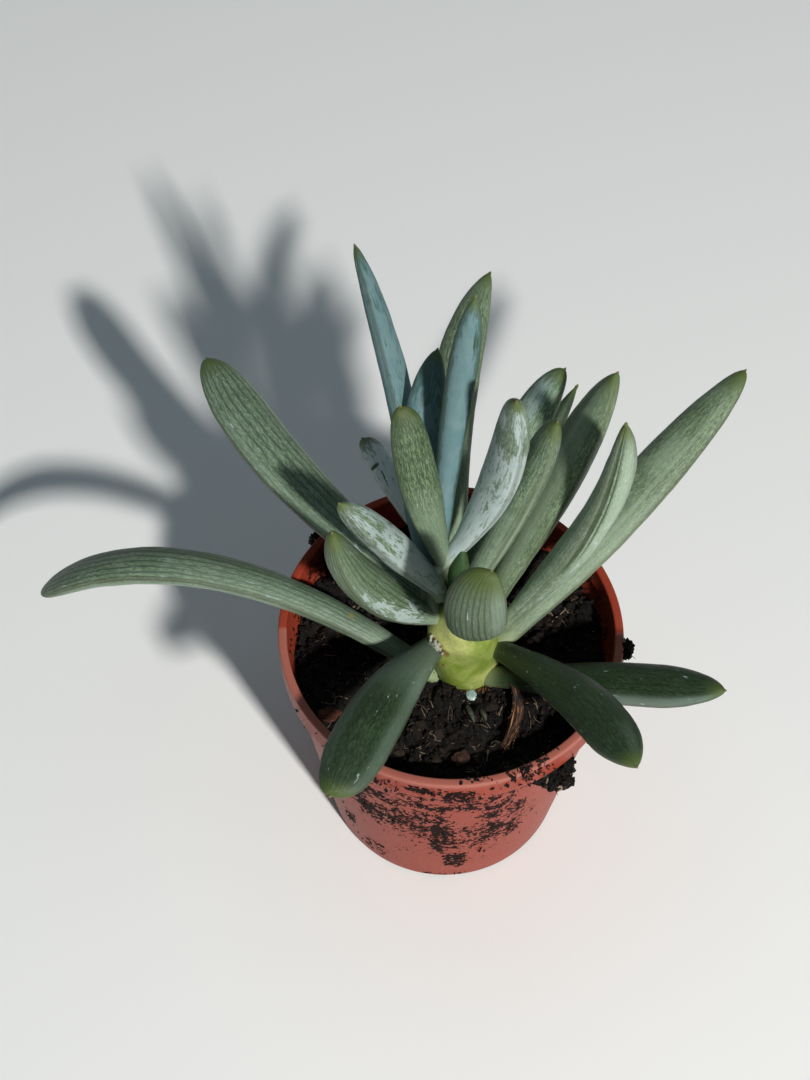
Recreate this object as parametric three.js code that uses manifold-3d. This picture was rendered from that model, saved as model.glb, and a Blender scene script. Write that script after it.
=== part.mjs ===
// A potted finger-leaved succulent: a plastic nursery pot, peat, a short thick stem and its fleshy leaves.
// Sizes are in millimetres and +Z is up. The origin is the middle of the pot's underside.
// Seen from the front (from -Y), +X is to the right.

import * as THREE from 'three';
import { mergeVertices } from 'three/addons/utils/BufferGeometryUtils.js';
import Module from 'manifold-3d';

const wasm = await Module();
wasm.setup();

// Driving dimensions
const GAP = 0.3;

const POT = {
  height: 80,
  rimRadius: 42.5,
  bandFootRadius: 42.2,
  shoulderRadius: 40.4,
  bandHeight: 8.6,
  lipWidth: 2.2,
  lipRound: 0.6,
  wall: 1.4,
  footRadius: 31.5,
  footRound: 2,
  footCorner: 0.3,
  floor: 1.7,
  sectors: 60,
};

const DRAIN = {
  count: 8,
  holeRadius: 2.6,
  circleRadius: 20,
  troughInner: 13,
  troughOuter: 27,
  troughSlope: 0.8,
  troughDepth: 0.9,
  drillHeight: 8,
  drillSides: 12,
};

// The peat rises by mound around the stem, sinks by dip right beside it, and is lumpy all over.
const SOIL = {
  level: 69,
  mound: 2.2,
  moundReach: 20,
  dip: 0.9,
  dipReach: 11,
  lump: 0.8,
  edgeDrop: 3,
  sectors: 40,
  rings: 9,
};

// The lumps are two sets of waves in the peat's top, the second one slanting across the first.
const PEAT_WAVES = { x: 0.55, xShift: 1.3, y: 0.48, yShift: 0.4, slantShare: 0.6, slantX: 1.05, slantY: 0.8 };

const STEM = {
  foot: new THREE.Vector3(4.3, -2.5, 48),
  collar: new THREE.Vector3(4.3, -2.5, 66),
  crown: new THREE.Vector3(0.8, -1.5, 108),
  tip: 103.5,
  knob: 0.35,
  knobTwist: 0.35,
  knobFoot: 60,
  sides: 20,
  // Height and radius up the stem, from the buried foot to the growing tip.
  steps: [
    [48, 3], [51, 6.4], [58, 8], [66, 9.2], [72, 9.3], [80, 8.8],
    [85, 8.2], [89, 6.6], [93, 4.8], [97, 3.6], [101, 2.6], [103, 1.6],
  ],
};

// Every blade has rings that stand closer together towards its tip, where the point is.
const BLADE = {
  rings: 13,
  sides: 10,
  stepBias: 1.6,
  pathSteps: 96,
  upperBulge: 0.85,
  heelBulge: 0.5,
  neckEase: 1.3,
  point: 0.7,
};
// How the thickness runs along a blade.
const BELLY = { neck: 0.75, peak: 0.5, blunt: 2.6, sharp: 0.5 };

// Each leaf grew as one piece. Angles are in degrees, counted from +X towards +Y, or up from the level.
// side, low and out say where the base sits: which side of the stem, how high, and how far from its axis.
// turn and rise head the base, sweep and arch swing it round and up by the tip, and ease delays the bend.
// neck is the base's share of the full width, peak the place of the full width along the blade.
// blunt and sharp shape the end, hook moves the tip to one edge, and roll tips the blade sideways.
const LEAVES = [
  { name: 'leaf_front_stub', side: -75, low: 101, out: 4.5,
    turn: -68.5, rise: 23, sweep: -48, arch: 86.5, ease: 0.8, roll: 0,
    long: 45.4, wide: 14.2, thick: 8.3, neck: 0.5, peak: 0.6, blunt: 2.5, sharp: 0.45, hook: 0.29 },
  { name: 'leaf_centre_waxy', side: 121, low: 104.5, out: 6.5,
    turn: 29, rise: 49, sweep: 7.5, arch: 49, ease: 0.95, roll: -10,
    long: 59, wide: 11.8, thick: 8, neck: 0.28, peak: 0.56, blunt: 2.35, sharp: 0.6, hook: -0.25 },
  { name: 'leaf_centre_upright', side: 117, low: 101, out: 5,
    turn: 132.5, rise: 57.5, sweep: -22, arch: 9.5, ease: 0.9, roll: 0,
    long: 47.5, wide: 9.8, thick: 8, neck: 0.35, peak: 0.57, blunt: 3, sharp: 0.44, hook: 0.2 },
  { name: 'leaf_right_inner', side: 59, low: 98, out: 4,
    turn: 41.5, rise: 54, sweep: -3, arch: 18, ease: 0.9, roll: -30,
    long: 52.7, wide: 10.3, thick: 8, neck: 0.6, peak: 0.69, blunt: 2.6, sharp: 0.56, hook: -0.19 },
  { name: 'leaf_inner_left_striped', side: 180, low: 88, out: 5,
    turn: 187, rise: 38.5, sweep: 1.5, arch: 43, ease: 1.2, roll: -5,
    long: 49.5, wide: 12.5, thick: 9, neck: 0.26, peak: 0.47, blunt: 2.2, sharp: 0.51, hook: -0.24 },
  { name: 'leaf_inner_left_waxy', side: 141, low: 94.5, out: 4.5,
    turn: 168, rise: 55, sweep: 18, arch: 3, ease: 0.9, roll: 0,
    long: 45.4, wide: 9.2, thick: 8.5, neck: 0.42, peak: 0.54, blunt: 2.1, sharp: 0.69, hook: 0.1 },
  { name: 'leaf_right_grooved', side: -19, low: 90, out: 9.5,
    turn: 33, rise: 42.5, sweep: -41, arch: 53.5, ease: 0.9, roll: -40,
    long: 78.9, wide: 11.4, thick: 8.5, neck: 0.23, peak: 0.46, blunt: 2.45, sharp: 0.82, hook: 0.03 },
  { name: 'leaf_front_left', side: 205, low: 81, out: 8,
    turn: 239, rise: 34, sweep: 14, arch: -30, ease: 1, roll: 0,
    long: 58, wide: 14.5, thick: 9, neck: 0.45, peak: 0.65, blunt: 3.1, sharp: 0.45, hook: -0.2 },
  { name: 'leaf_front_right', side: -17, low: 79, out: 8,
    turn: -50, rise: 35, sweep: -25.5, arch: -14, ease: 1.8, roll: 10,
    long: 64.6, wide: 12, thick: 9, neck: 0.42, peak: 0.75, blunt: 2.5, sharp: 0.81, hook: 0.13 },
  { name: 'leaf_far_right', side: -10, low: 80, out: 8.5,
    turn: 44, rise: 21, sweep: -0.5, arch: 4, ease: 0.95, roll: -15,
    long: 90.1, wide: 13.9, thick: 8.5, neck: 0.41, peak: 0.47, blunt: 2.25, sharp: 0.52, hook: 0.07 },
  { name: 'leaf_low_right', side: -45, low: 72, out: 9,
    turn: -22, rise: 32, sweep: -5, arch: 4, ease: 1, roll: 15,
    long: 67, wide: 10.5, thick: 8.5, neck: 0.5, peak: 0.65, blunt: 2.5, sharp: 0.65, hook: 0 },
  { name: 'leaf_far_left', side: 203, low: 71, out: 10.5,
    turn: 157, rise: 29.5, sweep: 19.5, arch: -83, ease: 1.3, roll: 25,
    long: 115.3, wide: 13.7, thick: 8.5, neck: 0.45, peak: 0.84, blunt: 2.25, sharp: 0.63, hook: -0.19 },
  { name: 'leaf_upper_left', side: 145, low: 88, out: 7,
    turn: 146, rise: 15, sweep: -34, arch: -18, ease: 1.4, roll: 10,
    long: 90, wide: 14.5, thick: 8.5, neck: 0.5, peak: 0.65, blunt: 3, sharp: 0.5, hook: 0.2 },
  { name: 'leaf_back_waxy', side: 140, low: 100, out: 6,
    turn: 91, rise: 47, sweep: -23, arch: 20, ease: 0.9, roll: 0,
    long: 71, wide: 7, thick: 7, neck: 0.4, peak: 0.75, blunt: 2.1, sharp: 0.7, hook: 0.1 },
  { name: 'leaf_back_shaded', side: 150, low: 97, out: 6,
    turn: 111, rise: 34, sweep: -43, arch: 8, ease: 1.1, roll: 10,
    long: 57.5, wide: 10, thick: 7, neck: 0.5, peak: 0.6, blunt: 2.4, sharp: 0.6, hook: 0.1 },
  { name: 'leaf_back_tallest', side: 95, low: 93, out: 6.5,
    turn: 99, rise: 26, sweep: -30, arch: -23, ease: 1.2, roll: -10,
    long: 84, wide: 11.5, thick: 8, neck: 0.5, peak: 0.65, blunt: 2.1, sharp: 0.75, hook: -0.1 },
  { name: 'leaf_back_left_tall', side: 168, low: 91, out: 7,
    turn: 98.5, rise: 36, sweep: 15.5, arch: -12, ease: 1.35, roll: 58,
    long: 89.6, wide: 8.9, thick: 6.6, neck: 0.6, peak: 0.62, blunt: 2.3, sharp: 0.66, hook: 0.02 },
  { name: 'leaf_back_left_small', side: 90, low: 90.5, out: 10,
    turn: 126.5, rise: 9, sweep: -8, arch: -6, ease: 1, roll: -6,
    long: 45.6, wide: 6.8, thick: 6.6, neck: 0.5, peak: 0.72, blunt: 3.3, sharp: 0.4, hook: 0.2 },
  { name: 'leaf_right_tall', side: 20, low: 91, out: 7.5,
    turn: 53, rise: 51, sweep: -15, arch: 12, ease: 0.9, roll: -30,
    long: 69, wide: 14.7, thick: 8.5, neck: 0.37, peak: 0.6, blunt: 2.55, sharp: 0.76, hook: -0.03 },
  { name: 'leaf_back_right', side: 60, low: 95, out: 6,
    turn: 79, rise: 42, sweep: -35, arch: -4, ease: 1.1, roll: -20,
    long: 57, wide: 11.5, thick: 7.5, neck: 0.5, peak: 0.65, blunt: 2.5, sharp: 0.5, hook: -0.1 },
  { name: 'leaf_back_right_small', side: 45, low: 91, out: 7,
    turn: 72, rise: 26, sweep: -18, arch: 4, ease: 1, roll: 0,
    long: 56, wide: 6, thick: 6, neck: 0.5, peak: 0.6, blunt: 1.8, sharp: 0.75, hook: 0 },
  { name: 'leaf_heart', side: 129, low: 98, out: 2,
    turn: 63.5, rise: 74, sweep: 4, arch: -10.5, ease: 1, roll: 0,
    long: 13.6, wide: 5, thick: 4.5, neck: 0.64, peak: 0.42, blunt: 1.6, sharp: 0.76, hook: 0.18 },
];

// The withered leaf hangs from the stem's front and lies over the peat, as a thin curled strip.
const WITHERED = {
  route: [
    [13.6, -9.8, 75.5], [15.8, -13, 76.5], [16.6, -17.5, 74.5], [15.4, -22.5, 72.8], [13.6, -27.5, 72.2],
  ],
  wide: 2.8,
  thick: 0.9,
  curl: 0.5,
  endShare: 0.55,
  swellFrom: 0.15,
  swellTo: 0.95,
  rings: 11,
  sides: 6,
};

// Lumps and bits are rough balls; showing is how much of its height a bit's middle stands above the peat.
const LUMP = { roughness: 0.22, detail: 2, showing: 0.3 };

// Lumps of peat stuck to the pot: place round the pot in degrees, height, and size outward, along and up.
const CLUMPS = [
  { name: 'peat_clump_band', around: -51, height: 66.5, size: [8.8, 12, 9], out: 41.2, seed: 3 },
  { name: 'peat_crumb_rim_right', around: -5, height: 77.5, size: [4.8, 4, 4.2], out: 43.2, seed: 7 },
  { name: 'peat_crumb_rim_left', around: 141, height: 77, size: [4.8, 5, 4], out: 43, seed: 11 },
];

// Loose bits that lie on the peat: place, size and seed.
const BITS = [
  { name: 'perlite_grain', at: [5.2, -13.2], size: [3.4, 2.4, 2.6], seed: 5, kind: 'perlite' },
  { name: 'bark_chip_left', at: [-29.5, -19], size: [6, 3, 2], seed: 9, kind: 'bark' },
  { name: 'bark_chip_front', at: [3, -30], size: [5, 2.4, 1.8], seed: 15, kind: 'bark' },
];

// Materials
const paint = (color, roughness) => new THREE.MeshStandardMaterial({ color, roughness });
const PAINTS = {
  terracottaPlastic: () => paint('#b4614f', 0.5),
  peat: () => paint('#1d1714', 0.95),
  stemSkin: () => paint('#9aa95a', 0.5),
  leafSkin: () => paint('#6f8a78', 0.55),
  witheredSkin: () => paint('#5f4632', 0.9),
  perlite: () => paint('#d8d6cc', 0.9),
  bark: () => paint('#4e3a2c', 0.9),
};

// Solids and meshes
function solidFrom(geometry) {
  const bare = geometry.clone();
  bare.deleteAttribute('normal');
  bare.deleteAttribute('uv');
  const merged = mergeVertices(bare, 1e-4);
  const vertProperties = new Float32Array(merged.attributes.position.array);
  const triVerts = new Uint32Array(merged.index.array);
  return new wasm.Manifold(new wasm.Mesh({ numProp: 3, vertProperties, triVerts }));
}

function geometryFrom(solid) {
  const mesh = solid.getMesh();
  const geometry = new THREE.BufferGeometry();
  geometry.setAttribute('position', new THREE.BufferAttribute(new Float32Array(mesh.vertProperties), 3));
  geometry.setIndex(new THREE.BufferAttribute(new Uint32Array(mesh.triVerts), 1));
  geometry.computeVertexNormals();
  return geometry;
}

function largestPiece(solid) {
  const pieces = solid.decompose();
  return pieces.reduce((best, piece) => (piece.volume() > best.volume() ? piece : best));
}

// A closed skin over rings of equal count, with a point at each end.
function skin(rings, startPoint, endPoint) {
  const sides = rings[0].length;
  const positions = [];
  const push = (point) => positions.push(point.x, point.y, point.z);
  rings.flat().forEach(push);
  push(startPoint);
  push(endPoint);
  const start = rings.length * sides;
  const end = start + 1;
  const index = [];
  for (let k = 0; k < sides; k += 1) {
    const next = (k + 1) % sides;
    index.push(start, next, k);
    for (let i = 0; i < rings.length - 1; i += 1) {
      const a = i * sides + k;
      const b = i * sides + next;
      index.push(a, b, b + sides, a, b + sides, a + sides);
    }
    const last = (rings.length - 1) * sides;
    index.push(last + k, last + next, end);
  }
  const geometry = new THREE.BufferGeometry();
  geometry.setAttribute('position', new THREE.Float32BufferAttribute(positions, 3));
  geometry.setIndex(index);
  geometry.computeVertexNormals();
  return geometry;
}

// Repeatable roughness from -1 to 1, from a place and a seed. Its factors only have to differ.
function rough(x, y, z, seed) {
  const level = Math.sin(x * 1.7 + seed) * Math.cos(y * 1.9 - seed * 0.7);
  const upward = Math.sin(z * 2.1 + x * 0.8 + seed * 1.3);
  return (level + upward) / 2;
}

// The pot
function buildPot() {
  const { height, bandHeight, lipRound, footRound } = POT;
  const bandFoot = height - bandHeight;
  const bore = POT.rimRadius - POT.lipWidth;
  const inside = POT.footRadius - POT.wall;
  const profile = [
    [0, 0],
    [DRAIN.troughInner, 0],
    [DRAIN.troughInner + DRAIN.troughSlope, DRAIN.troughDepth],
    [DRAIN.troughOuter - DRAIN.troughSlope, DRAIN.troughDepth],
    [DRAIN.troughOuter, 0],
    [POT.footRadius - footRound, 0],
    [POT.footRadius - footRound * POT.footCorner, footRound * POT.footCorner],
    [POT.footRadius, footRound],
    [POT.shoulderRadius, bandFoot],
    [POT.bandFootRadius - lipRound, bandFoot],
    [POT.bandFootRadius, bandFoot + lipRound],
    [POT.rimRadius, height - lipRound],
    [POT.rimRadius - lipRound, height],
    [bore + lipRound, height],
    [bore, height - lipRound],
    [bore, bandFoot + POT.wall],
    [POT.shoulderRadius - POT.wall, bandFoot - POT.wall],
    [inside, POT.floor + footRound],
    [inside - footRound, POT.floor],
    [0, POT.floor],
  ].map(([radius, level]) => new THREE.Vector2(radius, level));
  const lathe = new THREE.LatheGeometry(profile, POT.sectors);
  lathe.rotateX(Math.PI / 2);
  let shell = solidFrom(lathe);
  for (let k = 0; k < DRAIN.count; k += 1) {
    const angle = (k + 0.5) * 2 * Math.PI / DRAIN.count;
    const drill = new THREE.CylinderGeometry(
      DRAIN.holeRadius, DRAIN.holeRadius, DRAIN.drillHeight, DRAIN.drillSides);
    drill.rotateX(Math.PI / 2);
    drill.translate(DRAIN.circleRadius * Math.cos(angle), DRAIN.circleRadius * Math.sin(angle), POT.floor);
    shell = shell.subtract(solidFrom(drill));
  }
  return shell;
}

// The stem: a leaning, slightly knobbly trunk.
function stemAxis(height) {
  const { foot, collar, crown } = STEM;
  const [from, to] = height < collar.z ? [foot, collar] : [collar, crown];
  return from.clone().lerp(to, (height - from.z) / (to.z - from.z));
}

function buildStem(grow = 0) {
  const rings = STEM.steps.map(([height, radius]) => {
    const centre = stemAxis(height);
    return Array.from({ length: STEM.sides }, (_, k) => {
      const angle = k * 2 * Math.PI / STEM.sides;
      const knob = height > STEM.knobFoot ? STEM.knob * Math.sin(3 * angle + height * STEM.knobTwist) : 0;
      const reach = radius + knob + grow;
      return centre.clone().add(new THREE.Vector3(reach * Math.cos(angle), reach * Math.sin(angle), 0));
    });
  });
  const foot = stemAxis(STEM.foot.z);
  foot.z -= grow;
  const tip = stemAxis(STEM.tip);
  tip.z += grow;
  return solidFrom(skin(rings, foot, tip));
}

// The peat: its top is rough and rises a little around the stem.
function peatTop(x, y) {
  const fromStem = Math.hypot(x - STEM.collar.x, y - STEM.collar.y);
  const mound = SOIL.mound * Math.exp(-((fromStem / SOIL.moundReach) ** 2));
  const dip = SOIL.dip * Math.exp(-((fromStem / SOIL.dipReach) ** 2));
  const waves = PEAT_WAVES;
  const straight = Math.sin(x * waves.x + waves.xShift) * Math.cos(y * waves.y - waves.yShift);
  const slanting = waves.slantShare * Math.sin(x * waves.slantX - y * waves.slantY);
  return SOIL.level + mound - dip + SOIL.lump * (straight + slanting);
}

// The radius of the pot's bore at a height, on the flats between its corners.
function potBore(height) {
  const low = POT.floor + POT.footRound;
  const high = POT.height - POT.bandHeight - POT.wall;
  const share = THREE.MathUtils.clamp((height - low) / (high - low), 0, 1);
  const corner = THREE.MathUtils.lerp(POT.footRadius, POT.shoulderRadius, share) - POT.wall;
  return corner * Math.cos(Math.PI / POT.sectors);
}

function buildPeat() {
  const floor = POT.floor + GAP;
  const edge = SOIL.level - SOIL.edgeDrop;
  const rings = [];
  const addRing = (radius, heightAt) => {
    rings.push(Array.from({ length: SOIL.sectors }, (_, k) => {
      const angle = k * 2 * Math.PI / SOIL.sectors;
      const x = radius * Math.cos(angle);
      const y = radius * Math.sin(angle);
      return new THREE.Vector3(x, y, heightAt(x, y));
    }));
  };
  const outer = potBore(edge) - GAP;
  addRing(potBore(floor) - POT.footRound - GAP, () => floor);
  addRing(potBore(floor + POT.footRound) - GAP, () => floor + POT.footRound);
  addRing(outer, () => edge);
  for (let i = 0; i < SOIL.rings; i += 1) {
    addRing(outer * (1 - i / SOIL.rings), peatTop);
  }
  return solidFrom(skin(rings, new THREE.Vector3(0, 0, floor), new THREE.Vector3(0, 0, peatTop(0, 0))));
}

// One leaf
function share(along, leaf) {
  if (along < leaf.peak) {
    return leaf.neck + (1 - leaf.neck) * Math.sin(Math.PI / 2 * along / leaf.peak) ** BLADE.neckEase;
  }
  const rest = (along - leaf.peak) / (1 - leaf.peak);
  return Math.max(1 - rest ** leaf.blunt, 0) ** leaf.sharp;
}

// The middle line of a blade: points with their own along, across and out directions.
function bladePath(leaf) {
  const radians = THREE.MathUtils.degToRad;
  const base = stemAxis(leaf.low);
  base.x += leaf.out * Math.cos(radians(leaf.side));
  base.y += leaf.out * Math.sin(radians(leaf.side));
  const step = leaf.long / BLADE.pathSteps;
  const point = base.clone();
  const path = [];
  for (let i = 0; i <= BLADE.pathSteps; i += 1) {
    const along = i / BLADE.pathSteps;
    const bend = along ** leaf.ease;
    const up = radians(leaf.rise + leaf.arch * bend);
    const round = radians(leaf.turn + leaf.sweep * bend);
    const level = new THREE.Vector3(-Math.sin(round), Math.cos(round), 0);
    const heading = new THREE.Vector3(Math.cos(round), Math.sin(round), 0);
    const ahead = heading.multiplyScalar(Math.cos(up)).setZ(Math.sin(up));
    const above = ahead.clone().cross(level);
    const roll = radians(leaf.roll);
    const across = level.clone().multiplyScalar(Math.cos(roll)).addScaledVector(above, Math.sin(roll));
    const out = above.multiplyScalar(Math.cos(roll)).addScaledVector(level, -Math.sin(roll));
    path.push({ along, point: point.clone(), ahead, across, out });
    point.addScaledVector(ahead, step);
  }
  return path;
}

function buildLeaf(leaf, grow = 0) {
  const path = bladePath(leaf);
  const stations = Array.from({ length: BLADE.rings }, (_, i) => 1 - (1 - i / BLADE.rings) ** BLADE.stepBias);
  const rings = stations.map((along) => {
    const { point, across, out } = path[Math.round(along * BLADE.pathSteps)];
    const width = share(along, leaf);
    const halfWide = leaf.wide / 2 * width + grow;
    const halfThick = leaf.thick / 2 * Math.min(share(along, BELLY), Math.sqrt(width)) + grow;
    const shift = along > leaf.peak ? leaf.hook * leaf.wide / 2 * (1 - width) : 0;
    return Array.from({ length: BLADE.sides }, (_, k) => {
      const angle = k * 2 * Math.PI / BLADE.sides;
      const lift = Math.sin(angle) * (Math.sin(angle) > 0 ? BLADE.upperBulge : 1);
      return point.clone()
        .addScaledVector(across, halfWide * Math.cos(angle) + shift)
        .addScaledVector(out, halfThick * lift);
    });
  });
  const first = path[0];
  const last = path[BLADE.pathSteps];
  const heel = first.point.clone().addScaledVector(first.ahead, -leaf.thick * BLADE.heelBulge - grow);
  const tip = last.point.clone()
    .addScaledVector(last.across, leaf.hook * leaf.wide / 2)
    .addScaledVector(last.ahead, BLADE.point + grow);
  return solidFrom(skin(rings, heel, tip));
}

// A leaf that meets the stem, or a leaf in front of it, is pressed flat there and keeps its gap.
function buildLeaves(stemClear, others) {
  const placed = [];
  LEAVES.forEach((leaf) => {
    let solid = buildLeaf(leaf).subtract(stemClear);
    others.forEach((other) => {
      solid = solid.subtract(other);
    });
    placed.forEach(({ swollen }) => {
      solid = solid.subtract(swollen);
    });
    placed.push({ name: leaf.name, solid: largestPiece(solid), swollen: buildLeaf(leaf, GAP) });
  });
  return placed;
}

function buildWithered() {
  const curve = new THREE.CatmullRomCurve3(WITHERED.route.map((point) => new THREE.Vector3(...point)));
  const rings = Array.from({ length: WITHERED.rings }, (_, i) => {
    const along = i / (WITHERED.rings - 1);
    const point = curve.getPoint(along);
    const ahead = curve.getTangent(along);
    const across = new THREE.Vector3(-ahead.y, ahead.x, 0).normalize();
    const out = ahead.clone().cross(across);
    const swell = Math.sin(Math.PI * THREE.MathUtils.lerp(WITHERED.swellFrom, WITHERED.swellTo, along));
    const width = WITHERED.wide / 2 * THREE.MathUtils.lerp(WITHERED.endShare, 1, swell);
    const curl = WITHERED.curl * Math.sin(2 * Math.PI * along);
    return Array.from({ length: WITHERED.sides }, (_unused, k) => {
      const angle = k * 2 * Math.PI / WITHERED.sides + curl;
      return point.clone()
        .addScaledVector(across, width * Math.cos(angle))
        .addScaledVector(out, WITHERED.thick / 2 * Math.sin(angle));
    });
  });
  return solidFrom(skin(rings, curve.getPoint(0), curve.getPoint(1)));
}

// A lump: a rough ball of given size, turned round Z.
function buildLump(size, centre, turn, seed) {
  const ball = new THREE.IcosahedronGeometry(1, LUMP.detail);
  const place = ball.attributes.position;
  for (let i = 0; i < place.count; i += 1) {
    const point = new THREE.Vector3().fromBufferAttribute(place, i);
    point.multiplyScalar(1 + LUMP.roughness * rough(point.x * 2, point.y * 2, point.z * 2, seed));
    place.setXYZ(i, point.x * size[0] / 2, point.y * size[1] / 2, point.z * size[2] / 2);
  }
  ball.rotateZ(turn);
  ball.translate(centre.x, centre.y, centre.z);
  return solidFrom(ball);
}

// The pot's outside, grown by the gap, which the stuck lumps are cut by.
function potPlug() {
  const bandFoot = POT.height - POT.bandHeight - GAP;
  const profile = [
    [0, -GAP],
    [POT.footRadius + GAP, -GAP],
    [POT.shoulderRadius + GAP, bandFoot],
    [POT.rimRadius + GAP, bandFoot],
    [POT.rimRadius + GAP, POT.height + GAP],
    [0, POT.height + GAP],
  ].map(([radius, level]) => new THREE.Vector2(radius, level));
  const lathe = new THREE.LatheGeometry(profile, POT.sectors);
  lathe.rotateX(Math.PI / 2);
  return solidFrom(lathe);
}

// Assembly
const potted = new THREE.Group();
potted.name = 'potted_succulent';

function add(name, solid, material) {
  const mesh = new THREE.Mesh(geometryFrom(solid), material);
  mesh.name = name;
  potted.add(mesh);
}

const stemClear = buildStem(GAP);
const peat = buildPeat().subtract(stemClear);
const peatRaised = buildPeat().translate([0, 0, GAP]);
const potShell = buildPot();

add('pot', potShell, PAINTS.terracottaPlastic());
add('soil', peat, PAINTS.peat());
add('stem', buildStem(), PAINTS.stemSkin());

const leaves = buildLeaves(stemClear, [peatRaised]);
leaves.forEach(({ name, solid }) => add(name, solid, PAINTS.leafSkin()));

const leavesClear = leaves.map(({ swollen }) => swollen);
const clearOf = (solid, others) => largestPiece(others.reduce((rest, other) => rest.subtract(other), solid));

const resting = [stemClear, peatRaised, ...leavesClear];
add('withered_leaf', clearOf(buildWithered(), resting), PAINTS.witheredSkin());

const plug = potPlug();
CLUMPS.forEach((clump) => {
  const angle = THREE.MathUtils.degToRad(clump.around);
  const centre = new THREE.Vector3(clump.out * Math.cos(angle), clump.out * Math.sin(angle), clump.height);
  const lump = buildLump(clump.size, centre, angle, clump.seed);
  add(clump.name, clearOf(lump, [plug, ...leavesClear]), PAINTS.peat());
});

BITS.forEach((bit) => {
  const [x, y] = bit.at;
  const centre = new THREE.Vector3(x, y, peatTop(x, y) + bit.size[2] * LUMP.showing);
  const lump = buildLump(bit.size, centre, bit.seed, bit.seed);
  add(bit.name, clearOf(lump, resting), PAINTS[bit.kind]());
});

export default potted;
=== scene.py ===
"""The looks of a potted succulent with long, fleshy, waxy leaves, built around its fixed frame.

Sizes are in millimetres, in the frame's own axes, and turn into metres where a mesh is made.
Round angles of a leaf are in degrees: 0 is its left edge, 90 its upper face and 180 its right edge.
"""

import logging
import math
from dataclasses import dataclass, field
from enum import Enum
from itertools import product

import bmesh
import bpy
import numpy as np
from mathutils import Euler, Matrix, Vector

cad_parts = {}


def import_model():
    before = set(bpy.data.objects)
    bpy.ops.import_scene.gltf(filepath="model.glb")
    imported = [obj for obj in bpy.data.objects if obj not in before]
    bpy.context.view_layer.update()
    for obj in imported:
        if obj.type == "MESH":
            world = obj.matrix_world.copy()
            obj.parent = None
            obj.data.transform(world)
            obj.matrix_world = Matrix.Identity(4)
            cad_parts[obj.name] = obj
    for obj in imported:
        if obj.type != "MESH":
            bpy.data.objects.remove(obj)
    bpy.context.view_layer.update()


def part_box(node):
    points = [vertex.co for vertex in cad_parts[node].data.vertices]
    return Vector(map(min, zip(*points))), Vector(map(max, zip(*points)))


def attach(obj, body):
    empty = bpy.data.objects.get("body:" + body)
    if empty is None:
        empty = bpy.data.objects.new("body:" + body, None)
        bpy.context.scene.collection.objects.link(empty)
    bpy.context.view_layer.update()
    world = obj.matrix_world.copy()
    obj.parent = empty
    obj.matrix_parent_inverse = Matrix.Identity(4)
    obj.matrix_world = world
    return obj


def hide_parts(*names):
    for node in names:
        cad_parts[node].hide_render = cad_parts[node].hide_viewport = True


MM = 0.001
BODY = "root"
STEM_FOOT = (4.3, -2.5)
CELL_FACTORS = (73856093, 19349663, 83492791)
SEED_FACTOR = 2654435761
CELL_SHIFT = 4096
STIRS = ((15, 2246822519), (13, 3266489917))
WORD = 0xFFFFFFFF
LOG = logging.getLogger("potted_succulent")

Material = bpy.types.Material
Node = bpy.types.Node
Array = np.ndarray
Triple = tuple[float, float, float]
Spot = tuple[float, float]


def linear(code: str) -> tuple[float, float, float, float]:
    """Turns a colour code into scene-linear numbers.

    Args:
        code: a colour as "#rrggbb".

    Returns:
        Red, green, blue and an alpha of 1.
    """
    parts = [int(code[i:i + 2], 16) / 255 for i in (1, 3, 5)]
    red, green, blue = (p / 12.92 if p <= 0.04045 else ((p + 0.055) / 1.055) ** 2.4 for p in parts)
    return red, green, blue, 1.0


def unit_noise(points: Array, seed: int) -> Array:
    """Smooth repeatable noise.

    Args:
        points: rows of three coordinates, one cell to a unit.
        seed: which noise it is.

    Returns:
        One number from -1 to 1 for each row.
    """
    cell = np.floor(points).astype(np.int64)
    part = points - cell
    ease = part * part * (3 - 2 * part)
    total = np.zeros(len(points))
    for corner in product((0, 1), repeat=3):
        key = (cell + corner + CELL_SHIFT) * CELL_FACTORS
        mixed = (key[:, 0] ^ key[:, 1] ^ key[:, 2] ^ (seed * SEED_FACTOR)) & WORD
        for shift, factor in STIRS:
            mixed = ((mixed ^ (mixed >> shift)) * factor) & WORD
        weight = np.prod(np.where(corner, ease, 1 - ease), axis=1)
        total += weight * ((mixed ^ (mixed >> 16)) / (WORD // 2) - 1)
    return total


def rough_noise(points: Array, seed: int, layers: int = 3) -> Array:
    """Noise in several sizes at once, each half as large and half as strong as the one before.

    Args:
        points: rows of three coordinates, one cell to a unit.
        seed: which noise it is.
        layers: how many sizes.

    Returns:
        One number from about -1 to 1 for each row.
    """
    total = sum(unit_noise(points * 2 ** i, seed + i) * 0.5 ** i for i in range(layers))
    return total / sum(0.5 ** i for i in range(layers))


def smooth_step(low: float, high: float, value: Array) -> Array:
    """Rises smoothly from 0 at low to 1 at high."""
    part = np.clip((value - low) / (high - low), 0, 1)
    return part * part * (3 - 2 * part)


def unit(ways: Array) -> Array:
    """Scales ways, alone or in rows, to a length of 1."""
    return ways / np.linalg.norm(ways, axis=-1, keepdims=True)


def full_turn(count: int) -> Array:
    """Angles at even steps round a full turn, in radians."""
    return np.linspace(0, 2 * np.pi, count, endpoint=False)


def circling(angle: float, radius: float, height: float = 0) -> Array:
    """The point at an angle in radians and a radius about the upright axis, and at a height."""
    return np.array([radius * math.cos(angle), radius * math.sin(angle), height])


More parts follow.
